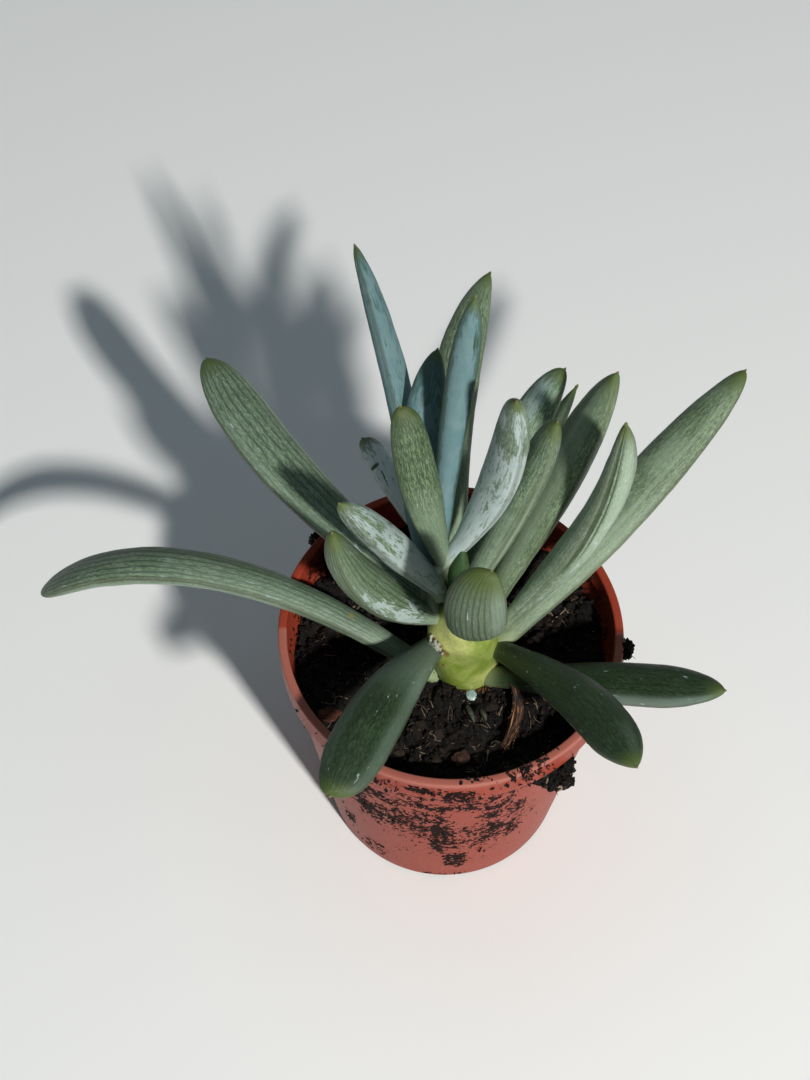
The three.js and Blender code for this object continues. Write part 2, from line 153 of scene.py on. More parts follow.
def round_line(line: Array, across: Array, out: Array, wide: Array, thick: Array) -> Array:
    """Places rings of points round a line.

    Args:
        line: the line's points.
        across: the way across at each.
        out: the way out at each.
        wide: how far across each point of each ring lies.
        thick: how far out.

    Returns:
        The points as an array of rings by sides by 3.
    """
    return line[:, None] + across[:, None] * wide[..., None] + out[:, None] * thick[..., None]


def placed(name: str, data: bpy.types.ID) -> bpy.types.Object:
    """Makes an object of a mesh, a light or a camera, and puts it in the scene."""
    made = bpy.data.objects.new(name, data)
    bpy.context.scene.collection.objects.link(made)
    return made


def store(mesh: bpy.types.Mesh, title: str, values: Array) -> None:
    """Keeps a number or a place for each point of a mesh, as an attribute."""
    kind, part = ("FLOAT_VECTOR", "vector") if values.ndim == 2 else ("FLOAT", "value")
    layer = mesh.attributes.new(title, kind, "POINT")
    layer.data.foreach_set(part, values.astype(np.float32).ravel())


@dataclass(frozen=True)
class Spread:
    """Random sizes from least up to least and more; a higher power makes the large ones rarer."""

    least: float
    more: float
    power: float = 1

    def draw(self, rng: np.random.Generator, count: int | None = None) -> float | Array:
        """Draws one size, or so many."""
        return self.least + self.more * rng.random(count) ** self.power


@dataclass
class Shape:
    """A mesh in the making, with values painted on its points."""

    points: Array
    faces: list[tuple[int, ...]]
    paint: dict[str, Array] = field(default_factory=dict)

    @staticmethod
    def skin(rings: Array, start: Array, end: Array) -> "Shape":
        """Closes rings of equal count with a point at each end.

        Args:
            rings: points as an array of rings by sides by 3.
            start: the point before the first ring.
            end: the point after the last ring.

        Returns:
            The closed shape; its points are the rings in order, then start and end.
        """
        count, sides = rings.shape[:2]
        first, last = count * sides, count * sides + 1
        faces: list[tuple[int, ...]] = []
        for k in range(sides):
            after = (k + 1) % sides
            faces.append((first, after, k))
            for i in range(count - 1):
                base = i * sides
                faces.append((base + k, base + after, base + sides + after, base + sides + k))
            base = (count - 1) * sides
            faces.append((base + k, base + after, last))
        return Shape(np.vstack([rings.reshape(-1, 3), start, end]), faces)

    def plain(self, tint: float = 0.0) -> "Shape":
        """Paints every point with its place and with a tint, from 0 to 1, and gives the shape back."""
        self.paint["place"] = self.points.copy()
        self.paint["tint"] = np.full(len(self.points), tint)
        return self

    @staticmethod
    def joined(shapes: list["Shape"]) -> "Shape":
        """Puts several shapes in one; every shape has the same paints."""
        faces: list[tuple[int, ...]] = []
        offset = 0
        for shape in shapes:
            faces.extend(tuple(i + offset for i in face) for face in shape.faces)
            offset += len(shape.points)
        paint = {name: np.concatenate([s.paint[name] for s in shapes]) for name in shapes[0].paint}
        return Shape(np.vstack([s.points for s in shapes]), faces, paint)

    def piece(self, name: str, slot: str, *nodes: str, finish: Material | None = None,
              smooth: bool = True) -> bpy.types.Object:
        """Makes the mesh object, which rides on the body.

        Args:
            name: the piece's name.
            slot: the name of a material slot; not used.
            nodes: the frame's nodes that the piece stands for.
            finish: its material.
            smooth: whether it is smooth shaded.

        Returns:
            The object, with its paints as attributes.
        """
        mesh = bpy.data.meshes.new(name)
        mesh.from_pydata((self.points * MM).tolist(), [], self.faces)
        for title, values in self.paint.items():
            store(mesh, title, values)
        mesh.polygons.foreach_set("use_smooth", [smooth] * len(mesh.polygons))
        mesh.update()
        if finish:
            mesh.materials.append(finish)
        made = placed(name, mesh)
        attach(made, BODY)
        if nodes:
            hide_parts(*nodes)
        LOG.info("%s: %d points, %d faces", name, len(mesh.vertices), len(mesh.polygons))
        return made


Socket = bpy.types.NodeSocket
Sockets = bpy.types.bpy_prop_collection
Source = Socket | float | tuple | str


class Graph:
    """A node tree while it is being wired."""

    def __init__(self, tree: bpy.types.NodeTree) -> None:
        """Starts on an empty tree."""
        self.tree = tree
        tree.nodes.clear()

    def add(self, kind: str, inputs: dict | None = None, **settings) -> Node:
        """Adds a node.

        Args:
            kind: the node's type, without its ShaderNode prefix.
            inputs: values or sockets for its inputs, by name or index.
            settings: values for its properties.

        Returns:
            The node.
        """
        node = self.tree.nodes.new(f"ShaderNode{kind}")
        for name, value in settings.items():
            setattr(node, name, value)
        for key, value in (inputs or {}).items():
            self.feed(node.inputs[key], value)
        return node

    def feed(self, socket: Socket, value: Source) -> None:
        """Links a socket to another, or sets its value; a colour is given by its code."""
        if isinstance(value, Socket):
            self.tree.links.new(value, socket)
        else:
            socket.default_value = linear(value) if isinstance(value, str) else value

    def math(self, operation: str, first: Source, second: Source = 0.0) -> Socket:
        """Puts two numbers through an operation."""
        return self.add("Math", {0: first, 1: second}, operation=operation).outputs[0]

    def times(self, first: Source, second: Source) -> Socket:
        """Multiplies two numbers."""
        return self.math("MULTIPLY", first, second)

    def plus(self, first: Source, second: Source) -> Socket:
        """Adds two numbers."""
        return self.math("ADD", first, second)

    def minus(self, first: Source, second: Source) -> Socket:
        """Takes the second number from the first."""
        return self.math("SUBTRACT", first, second)

    def blend(self, first: Source, share: float, second: Source) -> Socket:
        """Adds up a share of the first number and the rest of the share of the second."""
        return self.plus(self.times(first, share), self.times(second, 1 - share))

    def step(self, value: Source, low: Source, high: Source) -> Socket:
        """Rises smoothly from 0 where value is low to 1 where it is high."""
        inputs = {"Value": value, "From Min": low, "From Max": high}
        return self.add("MapRange", inputs, interpolation_type="SMOOTHSTEP").outputs[0]

    def mix(self, factor: Source, first: Source, second: Source) -> Socket:
        """Mixes two colours; a factor of 1 gives the second."""
        return self.add("Mix", {0: factor, 6: first, 7: second}, data_type="RGBA").outputs[2]

    def layered(self, base: Source, *layers: tuple[Source, Source, Source]) -> Source:
        """Lays colours over a base in turn; each layer is its mask, its strength and its colour."""
        for mask, strength, colour in layers:
            base = self.mix(self.times(mask, strength), base, colour)
        return base

    def noise(self, place: Source, scale: Source, detail: float = 2, bend: float = 0) -> Socket:
        """Noise from 0 to 1 at a place."""
        inputs = {"Vector": place, "Scale": scale, "Detail": float(detail), "Distortion": float(bend)}
        return self.add("TexNoise", inputs).outputs["Fac"]

    def number(self, name: str) -> Socket:
        """Reads a number painted on the mesh's points."""
        return self.add("Attribute", attribute_name=name).outputs["Fac"]

    def place(self, name: str = "place") -> Socket:
        """Reads a place painted on the mesh's points."""
        return self.add("Attribute", attribute_name=name).outputs["Vector"]

    def stretched(self, place: Source, scales: Triple) -> Socket:
        """Multiplies a place by three scales."""
        return self.add("VectorMath", {0: place, 1: scales}, operation="MULTIPLY").outputs[0]

    def drawn_out(self, place: Source, stretch: Source, shift: Source) -> Socket:
        """Draws a place's Z out by a stretch, and then shifts it."""
        parts = self.add("SeparateXYZ", {0: place}).outputs
        along = self.plus(self.math("DIVIDE", parts["Z"], stretch), shift)
        return self.add("CombineXYZ", {0: parts["X"], 1: parts["Y"], 2: along}).outputs[0]

    def use(self, effect: "Effect", **inputs: Source) -> Node:
        """Places an effect's group with values of its own."""
        node = self.add("Group")
        node.node_tree = effect.group()
        for name, value in inputs.items():
            self.feed(node.inputs[name.capitalize()], value)
        return node

    def mottle(self, place: Source, size: float, low: float = 0.35, high: float = 0.65) -> Socket:
        """Soft blotches of a size: 0 where their noise is below low and 1 where it is above high."""
        return self.use(Effect.MOTTLE, place=place, size=size, low=low, high=high).outputs[0]


class Effect(Enum):
    """The surface effects that several materials share, each one node group."""

    DASHES = "lengthwise_dashes"
    VEINS = "parallel_veins"
    BLOOM = "rubbed_wax_bloom"
    GRIME = "clinging_grime"
    MOTTLE = "soft_mottle"

    def group(self) -> bpy.types.NodeTree:
        """Gives the node group, built the first time that it is asked for."""
        return bpy.data.node_groups.get(self.value) or EFFECT_BUILDERS[self](self.value)


def new_group(name: str, inputs: dict[str, float | None],
              outputs: list[str]) -> tuple[Graph, Sockets, Sockets]:
    """Starts a node group.

    Args:
        name: the group's name.
        inputs: each input's name and default: a number, or None for a place.
        outputs: the names of its outputs, all numbers.

    Returns:
        The graph, the sockets that its inputs give, and those that its outputs take.
    """
    tree = bpy.data.node_groups.new(name, "ShaderNodeTree")
    graph = Graph(tree)
    for title, default in inputs.items():
        kind = "NodeSocketVector" if default is None else "NodeSocketFloat"
        socket = tree.interface.new_socket(name=title, in_out="INPUT", socket_type=kind)
        if default is not None:
            socket.default_value = default
    for title in outputs:
        tree.interface.new_socket(name=title, in_out="OUTPUT", socket_type="NodeSocketFloat")
    given = tree.nodes.new("NodeGroupInput").outputs
    return graph, given, tree.nodes.new("NodeGroupOutput").inputs


def build_dashes(name: str) -> bpy.types.NodeTree:
    """Short crooked pale dashes that run the length of a leaf."""
    inputs = {"Place": None, "Fineness": 3.5, "Stretch": 5.5, "Seed": 0.0}
    graph, given, taken = new_group(name, inputs, ["Dashes", "Fine"])
    shift = graph.times(given["Seed"], 7.3)
    spot = graph.drawn_out(given["Place"], given["Stretch"], shift)
    broad = graph.noise(spot, given["Fineness"], detail=1.0, bend=0.6)
    fine = graph.noise(spot, graph.times(given["Fineness"], 2.3), detail=1.0, bend=0.3)
    both = graph.blend(broad, 0.76, fine)
    graph.feed(taken["Dashes"], graph.step(both, 0.455, 0.55))
    graph.feed(taken["Fine"], fine)
    return graph.tree


def build_veins(name: str) -> bpy.types.NodeTree:
    """Dark parallel lines at even angles round a leaf, which meet at its tip."""
    inputs = {"Place": None, "Count": 26.0, "Width": 0.5, "Seed": 0.0}
    graph, given, taken = new_group(name, inputs, ["Veins"])
    place = graph.add("SeparateXYZ", {0: given["Place"]})
    angle = graph.math("ARCTAN2", place.outputs["Y"], place.outputs["X"])
    spot = graph.drawn_out(given["Place"], 16.0, given["Seed"])
    waver = graph.times(graph.noise(spot, 1.6, detail=2.0), 5.0)
    turned = graph.plus(graph.times(angle, given["Count"]), waver)
    wave = graph.math("COSINE", graph.plus(turned, given["Seed"]))
    half = graph.blend(wave, 0.5, 1.0)
    low = graph.minus(1.0, given["Width"])
    broken = graph.step(graph.noise(spot, 4.0, detail=2.0), 0.25, 0.48)
    graph.feed(taken["Veins"], graph.times(graph.step(half, low, 1.0), broken))
    return graph.tree


def build_bloom(name: str) -> bpy.types.NodeTree:
    """Whitish wax where it is painted, combed off along its borders and in fine scratches."""
    inputs = {"Place": None, "Painted": 0.0, "Ragged": 0.5, "Scratches": 0.5, "Seed": 0.0}
    graph, given, taken = new_group(name, inputs, ["Wax", "Thin"])
    shift = graph.times(given["Seed"], 11.7)

    def spot(stretch: float) -> Socket:
        """A place drawn out along the leaf."""
        return graph.drawn_out(given["Place"], stretch, shift)

    patches = graph.noise(spot(2.0), 0.55, detail=4.0, bend=0.7)
    combed = graph.noise(spot(6.0), 2.4, detail=2.0, bend=0.2)
    border = graph.blend(patches, 0.55, combed)
    swing = graph.times(graph.minus(border, 0.5), given["Ragged"])
    edge = graph.plus(given["Painted"], graph.times(swing, 5.5))
    scratch = graph.step(graph.noise(spot(6.0), 2.2, detail=2.0, bend=0.3), 0.56, 0.59)
    near = graph.step(graph.noise(spot(1.5), 0.28, detail=2.0), 0.42, 0.54)
    marks = graph.times(graph.times(scratch, near), given["Scratches"])
    wax = graph.minus(graph.step(edge, 0.48, 0.56), marks)
    graph.feed(taken["Wax"], graph.math("MAXIMUM", wax, 0.0))
    graph.feed(taken["Thin"], graph.step(edge, 0.1, 0.6))
    return graph.tree


def build_grime(name: str) -> bpy.types.NodeTree:
    """Soil that clings where it is painted, in crumbs and drawn-out smears."""
    inputs = {"Place": None, "Painted": 0.0, "Size": 1.0, "Flatness": 2.5}
    graph, given, taken = new_group(name, inputs, ["Grime", "Dust"])
    place = graph.add("SeparateXYZ", {0: given["Place"]})
    tall = graph.times(place.outputs["Z"], given["Flatness"])
    spot = graph.add("CombineXYZ", {0: place.outputs["X"], 1: place.outputs["Y"], 2: tall}).outputs[0]
    broad = graph.noise(spot, graph.times(given["Size"], 0.16), detail=2.0, bend=0.8)
    fine = graph.noise(spot, graph.times(given["Size"], 0.9), detail=2.0, bend=0.5)
    both = graph.blend(broad, 0.4, fine)
    lift = graph.times(graph.minus(both, 0.5), 9.0)
    level = graph.times(given["Painted"], graph.plus(lift, 1.0))
    graph.feed(taken["Grime"], graph.step(level, 0.5, 0.58))
    graph.feed(taken["Dust"], graph.step(level, 0.15, 0.9))
    return graph.tree


def build_mottle(name: str) -> bpy.types.NodeTree:
    """Soft blotches of several sizes."""
    inputs = {"Place": None, "Size": 1.0, "Low": 0.35, "High": 0.65}
    graph, given, taken = new_group(name, inputs, ["Mottle"])
    broad = graph.noise(given["Place"], given["Size"], detail=4.0, bend=0.6)
    graph.feed(taken["Mottle"], graph.step(broad, given["Low"], given["High"]))
    return graph.tree


EFFECT_BUILDERS = {
    Effect.DASHES: build_dashes,
    Effect.VEINS: build_veins,
    Effect.BLOOM: build_bloom,
    Effect.GRIME: build_grime,
    Effect.MOTTLE: build_mottle,
}


class Mark(Enum):
    """What can be painted on a surface; each is an attribute of the mesh."""

    WAX = "wax"
    # flesh without its wax film, and on some leaves painted shade on the side turned away from the light
    BARE_AND_SHADE = "bare"
    PALE = "pale"
    WINDOW = "window"
    SCAR = "scar"
    DIRT = "dirt"


LEAF_MARKS = (Mark.WAX, Mark.BARE_AND_SHADE, Mark.PALE, Mark.WINDOW, Mark.SCAR)


@dataclass(frozen=True)
class Patch:
    """A spot painted on a surface that has two ways round.

    On a leaf, along is the share of its length and around the round angle in degrees.
    On the pot and the stem, along is the height and around the angle about the upright axis.
    lean turns the patch by so many degrees for each unit of along.
    """

    mark: Mark
    along: float
    around: float
    reach: float
    spread: float
    amount: float = 1.0
    lean: float = 0.0

    def weigh(self, along: Array, around: Array) -> Array:
        """How strongly each point takes the paint; it falls off at the patch's border."""
        middle = self.around + self.lean * (along - self.along)
        turn = (around - middle + 180) % 360 - 180
        far = ((along - self.along) / self.reach) ** 4 + (turn / self.spread) ** 4
        return self.amount * np.exp(-far)


def painted(patches: tuple[Patch, ...], mark: Mark, along: Array, around: Array) -> Array:
    """Adds up the patches of one mark.

    Args:
        patches: patches of every mark.
        mark: the one wanted.
        along: the first way of each point.
        around: the second way of each point.

    Returns:
        The paint on each point.
    """
    none = np.zeros(np.broadcast(along, around).shape)
    return sum((p.weigh(along, around) for p in patches if p.mark is mark), none)


class Finish:
    """What every finish shares: a material with a principled shader."""

    def start(self, name: str, roughness: float, specular: float) -> tuple[Material, Graph, Node]:
        """Makes a material.

        Args:
            name: the material's name.
            roughness: its plain roughness.
            specular: its specular level.

        Returns:
            The material, its graph and its shader.
        """
        made = bpy.data.materials.new(name)
        made.use_nodes = True
        graph = Graph(made.node_tree)
        shader = graph.add("BsdfPrincipled", {"Roughness": roughness, "Specular IOR Level": specular})
        output = graph.add("OutputMaterial")
        graph.feed(output.inputs["Surface"], shader.outputs[0])
        return made, graph, shader

    def bump(self, graph: Graph, shader: Node, height: Source, depth: float, strength: float) -> None:
        """Raises the surface.

        Args:
            graph: the material's graph.
            shader: its shader.
            height: the height as a share of the depth.
            depth: the full height in millimetres.
            strength: how strongly it shows.
        """
        node = graph.add("Bump", {"Height": height, "Distance": depth * MM, "Strength": strength})
        graph.feed(shader.inputs["Normal"], node.outputs[0])

    def flesh(self, shader: Node, weight: float, radius: Triple) -> None:
        """Lets light into the surface; radius is how deep it goes by colour, in millimetres."""
        shader.inputs["Subsurface Weight"].default_value = weight
        shader.inputs["Subsurface Radius"].default_value = radius
        shader.inputs["Subsurface Scale"].default_value = MM


@dataclass(frozen=True)
class LeafSkin(Finish):
    """A leaf's skin: green flesh with pale dashes, dark veins, and wax over it.

    deep and light are the flesh and its dashes, bare is flesh with its film worn off and, on some
    leaves, painted shade on the side turned away from the light, and powder is the thickest wax. film is
    how much thin wax lies all over, edge_brown_and_shade is how dark the leaf's two edges are, partly a
    brownish edge and partly painted shade where the surface turns away, cloud is how uneven the wax is, and
    the tip's colour starts at tip_from.
    """

    deep: str = "#3f5630"
    light: str = "#91a67c"
    line: str = "#34452a"
    bare: str = "#2f4327"
    wax: str = "#a3b5b2"
    powder: str = "#d5dedb"
    scar: str = "#8a8a52"
    edge_brown_and_shade_colour: str = "#4c4a33"
    tip: str = "#55652a"
    heel: str = "#9dac7c"
    mucro: str = "#77753f"
    dashes: float = 0.9
    veins: float = 0.35
    vein_count: float = 24.0
    fineness: float = 4.4
    ragged: float = 0.6
    scratches: float = 0.5
    film: float = 0.08
    edge_brown_and_shade: float = 0.45
    cloud: float = 0.25
    tip_from: float = 0.9
    gloss: float = 0.45

    def material(self, name: str, seed: float) -> Material:
        """Makes the leaf's material.

        Args:
            name: the material's name.
            seed: moves the pattern, so that no two leaves are alike.

        Returns:
            The material.
        """
        made, graph, shader = self.start(name, roughness=self.gloss, specular=0.4)
        place = graph.place("leaf_place")
        circle = graph.place("leaf_round")
        along = graph.number("along")
        paints = {mark: graph.number(mark.value) for mark in LEAF_MARKS}
        pattern = graph.use(Effect.DASHES, place=place, fineness=self.fineness, seed=seed).outputs
        bloom = graph.use(Effect.BLOOM, place=place, painted=paints[Mark.WAX], ragged=self.ragged,
                          scratches=self.scratches, seed=seed).outputs
        veins = graph.use(Effect.VEINS, place=circle, count=self.vein_count, seed=seed).outputs[0]
        mottle = graph.mottle(place, 0.14)
        dashes, fine, wax = pattern["Dashes"], pattern["Fine"], bloom["Wax"]
        strength = graph.plus(graph.times(mottle, 0.3), 0.7)
        uneven = graph.plus(graph.times(fine, 0.7), 0.45)

        flesh = graph.layered(
            self.deep,
            (graph.times(dashes, self.dashes), strength, self.light),
            (veins, self.veins, self.line),
            (graph.plus(bloom["Thin"], strength), self.film, self.wax),
            (graph.times(paints[Mark.PALE], uneven), 0.85, graph.mix(0.35, self.light, self.wax)),
            # flesh without its wax film, and on some leaves painted shade on the side turned away from the
            # light
            (paints[Mark.BARE_AND_SHADE], 0.85, self.bare),
            (graph.step(graph.times(paints[Mark.WINDOW], uneven), 0.25, 0.75), 0.8, self.bare))
        powder = graph.layered(
            self.wax,
            (graph.step(fine, 0.5, 0.7), 0.45, self.light),
            (mottle, self.cloud, self.powder))
        # how near each point lies to the leaf's two edges, where the painted edge shade goes
        side = graph.math("ABSOLUTE", graph.add("SeparateXYZ", {0: circle}).outputs["X"])
        reach = graph.plus(along, graph.times(graph.minus(fine, 0.5), 0.08))
        graph.feed(shader.inputs["Base Color"], graph.layered(
            flesh,
            (wax, 0.92, powder),
            (graph.step(graph.times(paints[Mark.SCAR], uneven), 0.3, 0.6), 1.0, self.scar),
            # partly a brownish edge, partly painted shade where the surface turns away at the leaf's two
            # edges
            (graph.step(side, 0.965, 0.999), self.edge_brown_and_shade, self.edge_brown_and_shade_colour),
            (graph.step(reach, self.tip_from, 1.0), 0.9, self.tip),
            (graph.step(reach, 0.09, 0.0), 0.6, self.heel),
            (graph.step(along, 0.998, 1.004), 1.0, self.mucro)))

        dull = graph.plus(graph.times(wax, 0.2), graph.times(dashes, 0.12))
        graph.feed(shader.inputs["Roughness"], graph.plus(dull, self.gloss))
        ridge = graph.minus(fine, graph.times(veins, self.veins))
        self.bump(graph, shader, graph.plus(ridge, graph.times(wax, 0.5)), depth=0.1, strength=0.5)
        self.flesh(shader, weight=0.06, radius=(0.7, 1.2, 0.4))
        return made


@dataclass(frozen=True)
class Leaf:
    """One fleshy leaf.

    side, low and out say where its heel sits on the stem. turn and rise head it, sweep and arch bend it,
    and ease holds the bend back. long, wide and thick are its size, and roll turns it about its length.
    neck, peak, blunt, sharp and hook shape its outline, and edge thins it towards its two edges. upper is
    how much flatter its upper face is, least is half its least thickness, and swell is how softly it
    widens. fullness is how thick its heel is, stoutness keeps it thick towards the tip, and thinning lets
    it thin there with its width. crowding draws the rings to the tip. uneven, grain and the dents are
    depths.
    """

    name: str
    side: float
    low: float
    out: float
    turn: float
    rise: float
    sweep: float
    arch: float
    ease: float
    long: float
    wide: float
    thick: float
    roll: float
    neck: float
    peak: float
    blunt: float
    sharp: float
    hook: float
    skin: LeafSkin
    marks: tuple[Patch, ...] = ()
    edge: float = 0.12
    rings: int = 130
    sides: int = 64
    heel_rings: int = 9
    heel_bulge: float = 0.48
    point: float = 0.6
    upper: float = 0.85
    least: float = 0.42
    swell: float = 1.3
    fullness: float = 0.75
    stoutness: float = 2.6
    thinning: float = 0.68
    crowding: float = 1.7
    uneven: float = 0.17
    grain: float = 0.05
    window_dent: float = 0.24
    scar_dent: float = 0.1

    def outline(self, along: Array) -> Array:
        """The share of the full width at each place along the leaf."""
        wider = np.sin(np.pi / 2 * np.clip(along / self.peak, 0, 1)) ** self.swell
        rise = self.neck + (1 - self.neck) * wider
        rest = np.clip((along - self.peak) / (1 - self.peak), 0, 1)
        return np.where(along < self.peak, rise, np.clip(1 - rest ** self.blunt, 0, 1) ** self.sharp)

    def belly(self, along: Array) -> Array:
        """The share of the full thickness at each place along the leaf."""
        thicker = np.sin(np.pi / 2 * np.clip(along / 0.5, 0, 1)) ** self.swell
        rise = self.fullness + (1 - self.fullness) * thicker
        rest = np.clip((along - 0.5) / 0.5, 0, 1)
        whole = np.where(along < 0.5, rise, np.sqrt(np.clip(1 - rest ** self.stoutness, 0, 1)))
        return np.minimum(whole, self.outline(along) ** self.thinning)

    def heel(self) -> Array:
        """Where the leaf starts, on the stem."""
        return Stem.axis(self.low) + circling(math.radians(self.side), self.out)

    def spine(self, along: Array) -> tuple[Array, ...]:
        """The middle line of the leaf.

        Args:
            along: places along it, from 0 to 1.

        Returns:
            The points, and the ways ahead, across and out at each.
        """
        fine = np.linspace(0, 1, 241)
        bend = fine ** self.ease
        up = np.radians(self.rise + self.arch * bend)
        way = np.radians(self.turn + self.sweep * bend)
        ahead = np.stack([np.cos(up) * np.cos(way), np.cos(up) * np.sin(way), np.sin(up)], 1)
        level = np.stack([-np.sin(way), np.cos(way), np.zeros_like(way)], 1)
        above = np.cross(ahead, level)
        roll = math.radians(self.roll)
        across = level * math.cos(roll) + above * math.sin(roll)
        out = above * math.cos(roll) - level * math.sin(roll)
        steps = (ahead[1:] + ahead[:-1]) / 2 * self.long / (len(fine) - 1)
        line = np.vstack([np.zeros(3), np.cumsum(steps, axis=0)]) + self.heel()
        return tuple(np.stack([np.interp(along, fine, values[:, i]) for i in range(3)], 1)
                     for values in (line, ahead, across, out))

    def stations(self) -> tuple[Array, Array, Array]:
        """The leaf's rings, from its rounded heel to its small point.

        Returns:
            Each ring's place along the leaf, its share of the size there, and its push ahead in millimetres.
        """
        along = 1 - (1 - np.linspace(0, 1, self.rings)) ** self.crowding
        heel = np.linspace(0.04, 0.95, self.heel_rings)
        point = np.array([0.35, 0.7])
        place = np.concatenate([np.zeros(self.heel_rings), along, 1 + point * 0.01])
        share = np.concatenate([np.sin(np.pi / 2 * heel) ** 0.75, np.ones(self.rings), 0.8 - 0.5 * point])
        back = -self.thick * self.heel_bulge * np.cos(np.pi / 2 * heel) ** 1.1
        push = np.concatenate([back, np.zeros(self.rings), point * self.point])
        return place, share, push

    def shape(self, seed: int) -> Shape:
        """Builds the leaf's mesh.

        Args:
            seed: which unevenness it has.

        Returns:
            The closed shape with its paints.
        """
        place, share, push = self.stations()
        along = np.clip(place, 0, 1)
        line, ahead, across, out = self.spine(along)
        width = self.outline(along)
        half_wide = np.maximum(self.wide / 2 * width, self.least) * share
        half_thick = np.maximum(self.thick / 2 * self.belly(along), self.least) * share
        shift = np.where(along > self.peak, self.hook * self.wide / 2 * (1 - width), 0)
        middle = line + ahead * push[:, None] + across * shift[:, None]

        angle = full_turn(self.sides)
        turn = np.degrees(angle)[None, :]
        flatter = np.where(np.sin(angle) > 0, self.upper, 1.0)
        lift = np.sin(angle) * flatter * (1 - self.edge * np.cos(angle) ** 4)
        inward = (across[:, None] * (half_wide[:, None] * np.cos(angle))[..., None]
                  + out[:, None] * (half_thick[:, None] * lift)[..., None])
        size = np.linalg.norm(inward, axis=2, keepdims=True) + 1e-6
        flat = (middle[:, None] + inward).reshape(-1, 3)
        broad = rough_noise(flat / 7.0, seed=seed, layers=2)
        close = rough_noise(flat / 1.8, seed=seed + 5, layers=2)
        uneven = self.uneven * broad + self.grain * close
        spots = np.broadcast_to(place[:, None], size.shape[:2])
        paints = {mark.value: painted(self.marks, mark, spots, turn) for mark in LEAF_MARKS}
        # no wax where uncoated flesh, painted shade or window lines are painted
        unwaxed = paints[Mark.BARE_AND_SHADE.value] + paints[Mark.WINDOW.value]
        paints[Mark.WAX.value] = paints[Mark.WAX.value] - 1.3 * unwaxed
        dent = self.window_dent * paints[Mark.WINDOW.value] + self.scar_dent * paints[Mark.SCAR.value]
        body = smooth_step(0.0, 1.6, size[..., 0])
        grown = 1 + (uneven.reshape(dent.shape) - dent) * body / size[..., 0]
        rings = middle[:, None] + inward * grown[..., None]

        start = line[0] - ahead[0] * self.thick * (self.heel_bulge + 0.01)
        end = middle[-1] + ahead[-1] * self.point * 0.35
        shape = Shape.skin(rings, start, end)
        distance = np.broadcast_to((place * self.long + np.minimum(push, 0))[:, None], dent.shape).ravel()
        ends = np.array([[0, 0, -self.thick / 2], [0, 0, self.long * 1.01]])
        for title, wide, thick in (("leaf_place", self.wide / 2, self.thick / 2), ("leaf_round", 1, 1)):
            circle = np.stack([np.tile(np.cos(angle) * wide, len(place)),
                               np.tile(np.sin(angle) * thick, len(place)), distance], 1)
            shape.paint[title] = np.vstack([circle, ends])
        for title, values in paints.items():
            shape.paint[title] = np.append(values.ravel(), [values[0].mean(), values[-1].mean()])
        shape.paint["along"] = np.append(spots.ravel(), [0.0, 1.012])
        return shape

    def build(self, seed: int) -> None:
        """Makes the piece and dresses it."""
        finish = self.skin.material(f"{self.name}_skin", float(seed))
        self.shape(seed).piece(f"{self.name}_leaf", "leaf_skin", f"leaf_{self.name}", finish=finish)


MOTTLED = LeafSkin(dashes=0.8, veins=0.5, wax="#a9bcbc", film=0.15)
LINED = LeafSkin(deep="#4b623f", light="#98ad8c", line="#2b3d24", dashes=0.66, veins=0.8, vein_count=22.0,
                 wax="#a9bcbc", film=0.13)
OLIVE = LeafSkin(deep="#455a39", light="#90a577", wax="#a9bcbc", film=0.12, veins=0.35, dashes=0.85)
DARK = LeafSkin(deep="#1c2e16", light="#415a35", line="#15220e", dashes=0.6, film=0.02, gloss=0.4,
                edge_brown_and_shade=0.3, tip="#4f602b", tip_from=0.93)
STRIPED = LeafSkin(deep="#4d623f", light="#93a68b", line="#3a4d2e", dashes=0.45, veins=0.85)
RIBBED = LeafSkin(deep="#4b5f41", light="#87987f", line="#35432c", dashes=0.3, veins=0.9, vein_count=30.0,
                  film=0.06, tip="#4f5f22", tip_from=0.8)
WAXY = LeafSkin(deep="#4b6440", light="#9db091", wax="#b9cacc", scratches=0.9, film=0.18, ragged=0.8,
                tip_from=0.93)
SILVERED = LeafSkin(deep="#3f5836", light="#8ea282", wax="#9cacad", scratches=1.0, film=0.12, ragged=0.9,
                    tip_from=0.93)
# Partly the leaf's own white wax, partly painted light: paler than the other waxes so that the leaf, which
# lies in shade, reads as lit.
WHITENED = LeafSkin(wax="#e6eff0", light="#a9bb98", scratches=0.7, film=0.2, ragged=0.4, tip_from=0.93)
TEAL = LeafSkin(deep="#3d5b4d", light="#638478", wax="#66888e", dashes=0.4, scratches=0.3, film=0.3,
                veins=0.15, cloud=0.08, tip_from=0.93)
FERN = LeafSkin(deep="#33482a", light="#7c9268", line="#253720", film=0.05, veins=0.5, tip="#48561f")
RIDGED = LeafSkin(deep="#475f3c", light="#9cb290", wax="#bccdc6", film=0.2)
YOUNG = LeafSkin(deep="#2c4a24", light="#4c6c3e", dashes=0.3, film=0.0, veins=0.2)
DUSTED = LeafSkin(deep="#4d6943", light="#9ab192", wax="#9bb1ad", scratches=0.7, film=0.12, veins=0.1)
WAX, BARE_AND_SHADE, PALE, WINDOW, SCAR = LEAF_MARKS


